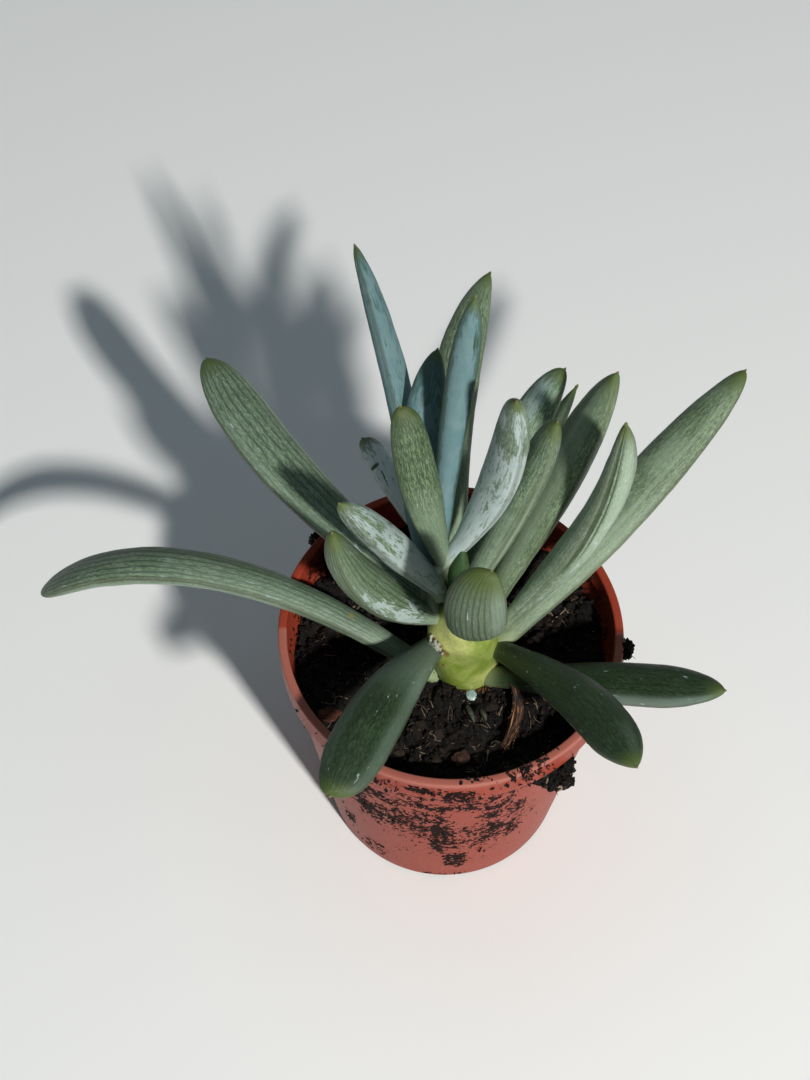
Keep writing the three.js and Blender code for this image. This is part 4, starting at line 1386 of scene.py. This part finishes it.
@dataclass
class Peat:
    """The peat in the pot: its lumpy bed, loose crumbs and fibres.

    mound and dip lift and sink it round the stem, lump is how high its broad lumps are, and coarse and
    fine are the heights and the sizes of its crumb. shoot_ends are the heel and the tip of each dead shoot.
    """

    level: float = 69
    mound: float = 2.2
    mound_reach: float = 20
    dip: float = 0.9
    dip_reach: float = 11
    lump: float = 0.8
    edge: float = 37.8
    floor_radius: float = 27.8
    floor: float = 2.0
    rings: int = 110
    sectors: int = 330
    coarse: tuple[float, float] = (1.7, 4.4)
    fine: tuple[float, float] = (1.3, 1.8)
    sink: float = 0.5
    crumbs: int = 4200
    crumb_size: Spread = Spread(0.4, 2.7, 3.5)
    fibres: int = 1100
    fibre_length: Spread = Spread(1.2, 4.5, 2.5)
    fibre_radius: Spread = Spread(0.06, 0.1, 2)
    shoot_ends: tuple[tuple[Triple, ...], ...] = (
        ((4.2, -16.8, 71.2), (6.0, -21.2, 71.6)), ((7.6, -17.6, 71.0), (8.8, -21.0, 72.2)))
    seed: int = 7

    def top(self, spots: Array) -> Array:
        """The height of the peat at rows of x and y."""
        x, y = spots[:, 0], spots[:, 1]
        from_stem = np.hypot(x - STEM_FOOT[0], y - STEM_FOOT[1])
        mound = self.mound * np.exp(-((from_stem / self.mound_reach) ** 2))
        dip = self.dip * np.exp(-((from_stem / self.dip_reach) ** 2))
        lumps = np.sin(x * 0.55 + 1.3) * np.cos(y * 0.48 - 0.4) + 0.6 * np.sin(x * 1.05 - y * 0.8)
        return self.level + mound - dip + self.lump * lumps

    def rough_top(self, spots: Array) -> Array:
        """The height of the peat with its crumb."""
        flat = np.column_stack([spots, np.zeros(len(spots))])
        coarse = self.coarse[0] * rough_noise(flat / self.coarse[1], seed=41, layers=4)
        fine = self.fine[0] * np.abs(rough_noise(flat / self.fine[1], seed=47, layers=3))
        return self.top(spots) + (coarse + fine) - self.sink

    def bed(self, finish: Material) -> None:
        """Makes the bed."""
        angle = full_turn(self.sectors)
        circle = np.stack([np.cos(angle), np.sin(angle)], 1)
        walls = [(self.floor_radius, self.floor), (30, self.floor + 2), (self.edge, self.level - 3)]
        rings = [np.column_stack([circle * radius, np.full(self.sectors, height)])
                 for radius, height in walls]
        for i in range(self.rings):
            spots = circle * self.edge * (1 - i / self.rings)
            rings.append(np.column_stack([spots, self.rough_top(spots)]))
        start = np.array([0, 0, self.floor])
        end = np.array([0, 0, self.rough_top(np.zeros((1, 2)))[0]])
        shape = Shape.skin(np.array(rings), start, end).plain()
        shape.piece("peat_bed", "peat", "soil", finish=finish)

    def scatter(self, rng: np.random.Generator, finish: Material) -> None:
        """Strews the bed with crumbs of every size, the most of them small and dark."""
        protos = [Lump((1, 1, 1), detail=1 + (i % 3 == 0), roughness=0.7, seed=i).shape(np.zeros(3))
                  for i in range(24)]
        shapes = []
        for i in range(self.crumbs):
            radius = (self.edge + 1.4) * math.sqrt(rng.random())
            turn = rng.random() * 2 * math.pi
            spot = circling(turn, radius)
            size = self.crumb_size.draw(rng)
            ratio = np.array([1, 0.55 + 0.4 * rng.random(), 0.35 + 0.4 * rng.random()])
            spot[2] = self.rough_top(spot[None, :2])[0] + size * 0.12
            proto = protos[i % len(protos)]
            matrix = np.array(Euler(tuple(rng.random(3) * (0.9, 0.9, 6.3))).to_matrix())
            points = proto.points * size * ratio @ matrix.T + spot
            tint = 0.75 * rng.random() ** 2.2 if size > 0.9 else rng.random() ** 2
            shapes.append(Shape(points, proto.faces).plain(tint))
        Shape.joined(shapes).piece("peat_crumbs", "peat", finish=finish, smooth=False)

    def strew_fibres(self, rng: np.random.Generator, finish: Material) -> None:
        """Lays thin root fibres over the bed."""
        shapes = []
        for _ in range(self.fibres):
            radius = (self.edge - 2) * math.sqrt(rng.random())
            turn = rng.random() * 2 * math.pi
            way = rng.random() * 2 * math.pi
            length = self.fibre_length.draw(rng)
            steps = np.linspace(-0.5, 0.5, 7)
            bend = rng.normal(0, 0.9)
            ahead = length * steps
            aside = bend * steps ** 2 * length
            x = radius * math.cos(turn) + ahead * math.cos(way) - aside * math.sin(way)
            y = radius * math.sin(turn) + ahead * math.sin(way) + aside * math.cos(way)
            inside = np.minimum(1, (self.edge - 0.5) / np.hypot(x, y))
            spots = np.column_stack([x * inside, y * inside])
            rise = self.rough_top(spots) + 0.1 + 0.5 * rng.random() * (1 + steps)
            thick = self.fibre_radius.draw(rng)
            route = np.column_stack([spots, rise])
            shapes.append(strand(route, np.full(7, thick), sides=4, tint=0.45 + 0.55 * rng.random()))
        Shape.joined(shapes).piece("peat_fibres", "peat", finish=finish)

    def build(self) -> None:
        """Makes the bed and what lies on it."""
        finish = PeatFinish().material("peat_finish")
        rng = np.random.default_rng(self.seed)
        self.bed(finish)
        self.scatter(rng, finish)
        self.strew_fibres(rng, finish)
        StuckPeat().build(finish)
        self.shoots()

    def shoots(self) -> None:
        """Makes the two small dead shoots that lie in front of the stem."""
        shapes = []
        for start, end in self.shoot_ends:
            steps = np.linspace(0, 1, 14)
            route = np.outer(1 - steps, start) + np.outer(steps, end)
            route[:, 2] += 0.5 * np.sin(np.pi * steps)
            shapes.append(strand(route, 0.12 + 0.55 * np.sin(np.pi * (0.2 + 0.75 * steps)), sides=12))
        finish = BitFinish("#2b2f26", "#5a5f4c", 0.6).material("dead_shoots")
        Shape.joined(shapes).piece("dead_shoots", "withered_skin", finish=finish)


@dataclass
class StuckPeat:
    """Peat that sticks to the pot: lumps under its band and on its rim, and crumbs on its walls.

    press is how far a lump is pushed against the pot, and share how much of its node's size it has.
    per_millimetre is how many crumbs, hairs and twigs it has for its size, and twig is a twig's radii.
    places are where crumbs stick: angle, its spread, radius, its spread, height, its spread, and count.
    """

    clumps: tuple[str, ...] = ("peat_clump_band", "peat_crumb_rim_right", "peat_crumb_rim_left")
    press: float = 0.7
    per_millimetre: Triple = (34, 6, 2)
    share: float = 0.86
    clump_crumb: Spread = Spread(0.5, 1.9, 2)
    stray_crumb: Spread = Spread(0.25, 1.1, 2.5)
    smear_crumb: Spread = Spread(0.25, 0.9, 2.5)
    twig: tuple[float, ...] = (0.9, 0.8, 0.65, 0.45, 0.15)
    places: tuple[tuple[float, float, float, float, float, float, int], ...] = (
        (-65, 4.0, 41.6, 0.7, 80.2, 0.3, 70), (-66, 4.5, 42.7, 0.15, 77.5, 1.6, 60),
        (-82, 3.0, 41.4, 0.5, 80.1, 0.2, 18), (144, 6.0, 39.9, 0.3, 74.5, 2.4, 110),
        (30, 10.0, 39.9, 0.3, 72.5, 1.8, 60), (-8, 3.0, 42.6, 0.3, 78.0, 1.2, 24),
        (0, 180.0, 39.4, 0.3, 70.6, 0.8, 260), (-98, 30.0, 42.7, 0.1, 74.5, 2.2, 60))
    seed: int = 21

    @staticmethod
    def crumb(number: int, spot: Array, size: Spread, rng: np.random.Generator, rarity: float = 4,
              palest: float = 1.0) -> Shape:
        """Makes a small angular crumb.

        Args:
            number: which roughness it has.
            spot: its middle.
            size: what its three sizes are drawn from.
            rng: where they are drawn.
            rarity: how rare pale crumbs are.
            palest: how pale the palest is, from 0 to 1.

        Returns:
            The closed shape.
        """
        lump = Lump(tuple(size.draw(rng, 3)), detail=1, roughness=0.7, seed=number)
        return lump.shape(spot, tuple(rng.random(3) * 6), rng.random() ** rarity * palest)

    def clump(self, number: int, node: str, rng: np.random.Generator, finish: Material) -> None:
        """Makes one lump, with the crumbs and fibres that stand out of it.

        Args:
            number: which roughness it has.
            node: the frame's node that it stands for.
            rng: where its crumbs are drawn from.
            finish: the peat's material.
        """
        low, high = (np.array(corner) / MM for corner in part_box(node))
        centre = (low + high) / 2
        centre -= np.array([centre[0], centre[1], 0]) / math.hypot(centre[0], centre[1]) * self.press
        size = (high - low) * self.share
        shapes = [Lump(tuple(size), detail=5, roughness=0.6, seed=60 + number).shape(centre)]
        crumbs, hairs, twigs = (int(size.max() * each) for each in self.per_millimetre)
        for i in range(crumbs):
            way = unit(rng.normal(0, 1, 3))
            spot = centre + way * size / 2 * (0.85 + 0.4 * rng.random())
            shapes.append(self.crumb(i, spot, self.clump_crumb, rng))
        for _ in range(hairs):
            way = unit(rng.normal(0, 1, 3))
            steps = np.linspace(0, 1, 6)[:, None]
            route = centre + way * size / 2 * (0.8 + 0.3 * steps) + steps * rng.normal(0, 0.7, 3)
            shapes.append(strand(route, np.linspace(0.16, 0.05, 6), sides=4, tint=0.3 * rng.random()))
        for _ in range(twigs):
            way = unit(rng.normal(0, 1, 3))
            route = centre + np.outer(np.linspace(0.7, 1.25, len(self.twig)), way * size / 2)
            shapes.append(strand(route, np.array(self.twig), sides=5))
        Shape.joined(shapes).piece(f"{node}_rough", "peat", node, finish=finish, smooth=False)

    def crumbs(self, rng: np.random.Generator, finish: Material) -> None:
        """Sticks crumbs to the rim and the walls."""
        shapes = []
        bore = Pot.rim_radius - Pot.lip_width
        for turn, spread, radius, depth, height, tall, count in self.places:
            for i in range(count):
                angle = math.radians(turn + spread * rng.normal(0, 1))
                reach = radius + depth * rng.normal(0, 1)
                spot = circling(angle, reach, height + tall * rng.normal(0, 1))
                if spot[2] > Pot.height and not bore - 0.4 < reach < Pot.rim_radius + 0.4:
                    spot[2] = Pot.height - 1
                if reach > Pot.rim_radius - 0.6:
                    spot[2] = max(spot[2], Pot.height - Pot.band_height + 0.8)
                shapes.append(self.crumb(i, spot, self.stray_crumb, rng, rarity=3, palest=0.9))
        for height, turn, tall, spread, strength in Pot.smears:
            for i in range(int(9 * strength) if spread < 20 else 40):
                angle = math.radians(turn + spread * 0.5 * rng.normal(0, 1))
                spot_height = float(np.clip(height + tall * 0.5 * rng.normal(0, 1), 3, 78))
                spot = circling(angle, Pot.outside(spot_height), spot_height)
                shapes.append(self.crumb(i, spot, self.smear_crumb, rng))
        Shape.joined(shapes).piece("stuck_crumbs", "peat", finish=finish, smooth=False)

    def build(self, finish: Material) -> None:
        """Makes every lump and the crumbs."""
        rng = np.random.default_rng(self.seed)
        for number, node in enumerate(self.clumps):
            self.clump(number, node, rng, finish)
        self.crumbs(rng, finish)


@dataclass(frozen=True)
class LooseBit:
    """A bit that lies on the peat where the frame has it."""

    node: str
    slot: str
    finish: BitFinish
    detail: int = 5
    roughness: float = 0.3
    smooth: bool = True

    def build(self, number: int) -> None:
        """Makes the bit, a little rougher than its node; number is which roughness it has."""
        low, high = (np.array(corner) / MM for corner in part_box(self.node))
        lump = Lump(tuple((high - low) * 0.97), self.detail, self.roughness, number)
        finish = self.finish.material(f"{self.node}_finish")
        lump.shape((low + high) / 2).piece(f"{self.node}_bit", self.slot, self.node, finish=finish,
                                           smooth=self.smooth)


LOOSE_BITS = (
    LooseBit("perlite_grain", "perlite", BitFinish("#8aa3a0", "#c8d8d4", 0.25, 1.0, 0.05), 5, 0.22),
    LooseBit("bark_chip_left", "bark", BitFinish("#3a2018", "#6c3f2c", 0.8, 2.4), 4, 0.5, False),
    LooseBit("bark_chip_front", "bark", BitFinish("#2a1a14", "#4d3426", 0.8, 2.4), 4, 0.5, False),
)


@dataclass(frozen=True)
class PotFinish(Finish):
    """Terracotta-coloured plastic with a soft sheen, scuffs and clinging soil, painted shade inside and a
    painted rim highlight.
    """

    clay: str = "#973a28"
    dusty: str = "#a04935"
    rim_highlight_and_dust: str = "#c7968a"
    stain: str = "#6a2f22"
    soil: str = "#120604"

    def material(self, name: str) -> Material:
        """Makes the pot's material."""
        made, graph, shader = self.start(name, roughness=0.42, specular=0.14)
        place = graph.place()
        dirt, pale = graph.number(Mark.DIRT.value), graph.number(Mark.PALE.value)
        soil_and_inner_shade = graph.use(Effect.GRIME, place=place, painted=dirt, size=1.1, flatness=0.9).outputs
        grime = soil_and_inner_shade["Grime"]
        grain = graph.mottle(graph.stretched(place, (1.0, 1.0, 0.3)), 3.0)
        graph.feed(shader.inputs["Base Color"], graph.layered(
            self.clay,
            (graph.mottle(place, 0.09), 0.4, self.dusty),
            # painted highlight with a dusty film: a pale band on the rim's front half, the side facing the
            # light
            (pale, 0.4, self.rim_highlight_and_dust),
            (soil_and_inner_shade["Dust"], 0.4, self.stain),
            # soil stains outside, and painted shade with some soil residue on the inside wall
            (grime, 0.97, self.soil)))
        dull = graph.plus(graph.times(grime, 0.45), 0.38)
        graph.feed(shader.inputs["Roughness"], graph.plus(dull, graph.times(grain, 0.08)))
        self.bump(graph, shader, graph.plus(graph.times(grain, 0.1), grime), depth=0.35, strength=0.6)
        return made


@dataclass
class Pot:
    """The tapered nursery pot with its rim band, flat foot and drain holes.

    trough is the ring-shaped hollow under its floor, from one radius to the other. smears are soil stains
    on its outside: height, angle, half height, half angle and strength. soil_and_inner_shade is between
    which heights its inside wall goes from dark to clean, painted shade with some soil residue, and dusty is
    the height and the half height of the pale band on the front half of its rim, a painted highlight with a
    dusty film.
    """

    height: float = 80
    rim_radius: float = 42.5
    band_foot_radius: float = 42.2
    shoulder_radius: float = 40.4
    band_height: float = 8.6
    lip_width: float = 2.2
    lip_round: float = 0.6
    wall: float = 1.4
    foot_radius: float = 31.5
    foot_round: float = 2
    floor: float = 1.7
    trough: tuple[float, float] = (13, 27)
    trough_depth: float = 0.9
    hole_count: int = 8
    hole_radius: float = 2.6
    hole_circle: float = 20
    sectors: int = 360
    wall_slope: float = 0.11
    # heights between which the inside wall goes from dark to clean: painted shade with some soil residue
    soil_and_inner_shade: tuple[float, float] = (79.4, 73)
    # height and half height of the painted highlight, with a dusty film, on the rim's front half
    dusty: tuple[float, float] = (79.6, 0.7)
    smears: tuple[tuple[float, ...], ...] = (
        (76.3, -98, 1.8, 6, 1.1), (73.8, -86.5, 3.0, 5.5, 1.1), (75, -112, 2, 6, 0.45),
        (60, -92, 2.6, 15, 0.6), (58, -116, 3, 9, 0.6), (47.5, -111, 5, 7, 0.5), (42, -112, 3.5, 8, 0.4),
        (54, -130, 5, 8, 0.55), (44, -126, 5, 7, 0.45), (51.5, -97, 5, 6, 0.25), (35.5, -92.4, 10, 2.6, 0.8),
        (29, -84, 4, 6, 0.4), (15.4, -85.4, 5, 4.5, 1.9), (53.6, -71.4, 5, 6, 0.5),
        (49.5, -62.5, 6, 3.5, 0.5), (34, -68.5, 7, 7, 0.45), (31, -61, 5, 4, 0.4), (9.4, -125, 5, 6, 0.6),
        (20, -138, 5, 4, 0.6), (62, -76, 3, 9, 0.3), (53, -92, 20, 46, 0.3), (26, -92, 20, 50, 0.25),
        (2, -91, 2, 12, 0.5), (60, 150, 14, 50, 0.34), (40, 40, 20, 50, 0.28), (68, 0, 4, 400, 0.3))

    @staticmethod
    def outside(height: float) -> float:
        """The radius of the pot's outside at a height."""
        if height > Pot.height - Pot.band_height:
            return Pot.band_foot_radius + 0.1
        part = (height - Pot.foot_round) / (Pot.height - Pot.band_height - Pot.foot_round)
        return Pot.foot_radius + (Pot.shoulder_radius - Pot.foot_radius) * part

    @staticmethod
    def line(start: Spot, end: Spot, shares: Array) -> list[Spot]:
        """Points of a straight line at shares of its length."""
        return [(start[0] + (end[0] - start[0]) * k, start[1] + (end[1] - start[1]) * k) for k in shares]

    @staticmethod
    def quarter(middle: Spot, radius: float, start: float) -> list[Spot]:
        """Points of a quarter circle, from an angle in degrees on."""
        turns = np.radians(start + np.linspace(0, 90, 5))
        return [(middle[0] + radius * math.cos(t), middle[1] + radius * math.sin(t)) for t in turns]

    def profile(self) -> list[Spot]:
        """The pot's section, from the middle of its underside round to the middle of its floor."""
        band_foot = self.height - self.band_height
        bore = self.rim_radius - self.lip_width
        inside = self.foot_radius - self.wall
        lip = self.lip_round
        near, far = self.trough
        slope, depth = 0.8, self.trough_depth
        under = [(0.01, 0), (near, 0), (near + slope, depth), (far - slope, depth), (far, 0)]
        foot = self.quarter((self.foot_radius - self.foot_round, self.foot_round), self.foot_round, -90)
        side = self.line((self.foot_radius, self.foot_round), (self.shoulder_radius, band_foot),
                         np.linspace(0.03, 1, 52))
        band = [(self.band_foot_radius - lip, band_foot),
                (self.band_foot_radius - lip * 0.3, band_foot + lip * 0.3)]
        face = self.line((self.band_foot_radius, band_foot + lip), (self.rim_radius, self.height - lip),
                         np.linspace(0, 0.92, 7))
        outer = self.quarter((self.rim_radius - lip, self.height - lip), lip, 0)
        inner = self.quarter((bore + lip, self.height - lip), lip, 90)
        seat = [(bore, band_foot + self.wall)]
        inner_side = self.line((self.shoulder_radius - self.wall, band_foot - self.wall),
                               (inside, self.floor + self.foot_round), np.linspace(0, 1, 12))
        bottom = [(inside - self.foot_round, self.floor), (0.01, self.floor)]
        return under + foot + side + band + face + outer + inner + seat + inner_side + bottom

    def drill(self, made: bpy.types.Object) -> None:
        """Cuts the drain holes through the floor."""
        grown = bmesh.new()
        for k in range(self.hole_count):
            angle = (k + 0.5) * 2 * math.pi / self.hole_count
            spot = Vector(circling(angle, self.hole_circle, 1)) * MM
            bmesh.ops.create_cone(grown, cap_ends=True, segments=32, radius1=self.hole_radius * MM,
                                  radius2=self.hole_radius * MM, depth=6 * MM,
                                  matrix=Matrix.Translation(spot))
        mesh = bpy.data.meshes.new("drills")
        grown.to_mesh(mesh)
        grown.free()
        drills = placed("drills", mesh)
        cut = made.modifiers.new("holes", "BOOLEAN")
        cut.operation = "DIFFERENCE"
        cut.object = drills
        seen = made.evaluated_get(bpy.context.evaluated_depsgraph_get())
        drilled = bpy.data.meshes.new_from_object(seen)
        made.modifiers.clear()
        old = made.data
        made.data = drilled
        bpy.data.meshes.remove(old)
        bpy.data.objects.remove(drills)
        bpy.data.meshes.remove(mesh)

    def paint_stains_shade_and_highlight(self, mesh: bpy.types.Mesh) -> None:
        """Paints the soil stains outside, painted shade with soil residue inside, and a painted highlight
        with a dusty film on the rim's front half, on the drilled pot.
        """
        points = np.empty(len(mesh.vertices) * 3)
        mesh.vertices.foreach_get("co", points)
        points = points.reshape(-1, 3) / MM
        turn = np.degrees(np.arctan2(points[:, 1], points[:, 0]))
        reach = np.hypot(points[:, 0], points[:, 1])
        patches = tuple(Patch(Mark.DIRT, *smear) for smear in self.smears)
        outside = reach > self.foot_radius - 0.5 + points[:, 2] * self.wall_slope
        dirt = painted(patches, Mark.DIRT, points[:, 2], turn) * outside
        # painted shade with some soil residue: the inside wall darkens towards the bottom
        dirt = dirt + 0.8 * (~outside) * smooth_step(*self.soil_and_inner_shade, points[:, 2])
        # painted highlight with a dusty film: a pale band on the rim, only on its front half, which faces
        # the light
        rim_highlight_and_dust = np.exp(-((points[:, 2] - self.dusty[0]) / self.dusty[1]) ** 2) * (turn < 0)
        for title, values in ((Mark.DIRT.value, dirt), (Mark.PALE.value, rim_highlight_and_dust), ("place", points)):
            store(mesh, title, values)

    def build(self) -> None:
        """Makes the pot, drills it and dresses it."""
        angle = full_turn(self.sectors)
        rings = np.array([[(r * math.cos(a), r * math.sin(a), z) for a in angle] for r, z in self.profile()])
        shape = Shape.skin(rings, np.array([0, 0, 0.0]), np.array([0, 0, self.floor]))
        made = shape.piece("pot_body", "pot_plastic", "pot")
        self.drill(made)
        self.paint_stains_shade_and_highlight(made.data)
        made.data.materials.append(PotFinish().material("pot_plastic"))


@dataclass(frozen=True)
class Studio:
    """The plain pale floor, the soft lights and the camera at the photograph's angle.

    sun and sky are the ways to the two lights. The lights' and the floor's sizes, light_distance and
    light_height are in metres, and floor_drop is how many millimetres the floor lies below the pot.
    """

    lens_pixels: float = 2000
    frame_pixels: tuple[int, int] = (810, 1080)
    pitch: float = 57.6
    roll: float = 0.9
    distance: float = 491.6
    rim_pixel: tuple[float, float] = (450.9, 629.0)
    rim_centre: Triple = (0, 0, 80)
    sun: Triple = (0.34, -0.66, 0.67)
    sun_size: float = 0.09
    sun_strength: float = 1.06
    warm: Triple = (1.0, 0.985, 0.94)
    sky: Triple = (-0.1, 0.25, 1.0)
    sky_size: float = 1.4
    sky_strength: float = 0.11
    air_strength: float = 0.08
    cool: Triple = (0.74, 0.91, 1.0)
    light_distance: float = 1.6
    light_height: float = 0.1
    floor_size: float = 4.0
    floor_drop: float = 0.3
    floor_paint: tuple[float, float, float, float] = (0.94, 0.94, 0.94, 1)

    def camera(self) -> None:
        """Places the camera so that the pot's rim lies where the photograph has it."""
        wide, tall = self.frame_pixels
        pitch, roll = math.radians(self.pitch), math.radians(self.roll)
        x = (self.rim_pixel[0] - wide / 2) / self.lens_pixels
        y = -(self.rim_pixel[1] - tall / 2) / self.lens_pixels
        ray = Vector((x, y, -1)).normalized()
        axes = Matrix(((1, 0, 0), (0, math.sin(pitch), -math.cos(pitch)),
                       (0, math.cos(pitch), math.sin(pitch))))
        axes = axes @ Matrix.Rotation(roll, 3, "Z")
        place = Vector(self.rim_centre) - self.distance * (axes @ ray)
        data = bpy.data.cameras.new("camera")
        data.sensor_width = 36
        data.lens = self.lens_pixels / tall * data.sensor_width
        made = placed("camera", data)
        made.matrix_world = Matrix.Translation(place * MM) @ axes.to_4x4()
        bpy.context.scene.camera = made

    def light(self, name: str, way: Triple, size: float, strength: float, tint: Triple) -> None:
        """Adds a soft light that faces the plant.

        Args:
            name: its name.
            way: the way from the plant to the light.
            size: its side, in metres.
            strength: how brightly it lights a white surface that faces it.
            tint: its colour.
        """
        data = bpy.data.lights.new(name, "AREA")
        data.size = size
        data.energy = strength * (math.pi * self.light_distance) ** 2
        data.color = tint
        made = placed(name, data)
        back = Vector(way).normalized()
        made.location = Vector((0, 0, self.light_height)) + back * self.light_distance
        made.rotation_euler = back.to_track_quat("Z", "Y").to_euler()

    def floor(self) -> None:
        """Makes the plain pale floor."""
        size = self.floor_size
        mesh = bpy.data.meshes.new("floor")
        mesh.from_pydata([(-size, -size, 0), (size, -size, 0), (size, size, 0), (-size, size, 0)], [],
                         [(0, 1, 2, 3)])
        floor = placed("floor", mesh)
        floor.location.z = -self.floor_drop * MM
        made, _, shader = Finish().start("floor_paint", roughness=0.9, specular=0.1)
        shader.inputs["Base Color"].default_value = self.floor_paint
        mesh.materials.append(made)

    def build(self) -> None:
        """Makes the stage, the lights and the camera."""
        self.floor()
        self.light("key", self.sun, self.sun_size, self.sun_strength, self.warm)
        self.light("overhead", self.sky, self.sky_size, self.sky_strength, self.cool)
        world = bpy.data.worlds.new("studio_air")
        world.use_nodes = True
        air = world.node_tree.nodes["Background"].inputs
        air["Color"].default_value = (*self.cool, 1)
        air["Strength"].default_value = self.air_strength
        bpy.context.scene.world = world
        bpy.context.scene.view_settings.view_transform = "Standard"
        self.camera()


def main() -> None:
    """Builds every sub-assembly around the frame."""
    logging.basicConfig(level=logging.INFO, format="%(message)s")
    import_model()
    Studio().build()
    Pot().build()
    Peat().build()
    Stem().build()
    Rosette().build()
    WitheredLeaf().build()
    for number, bit in enumerate(LOOSE_BITS):
        bit.build(number)


if __name__ == "__main__":
    main()
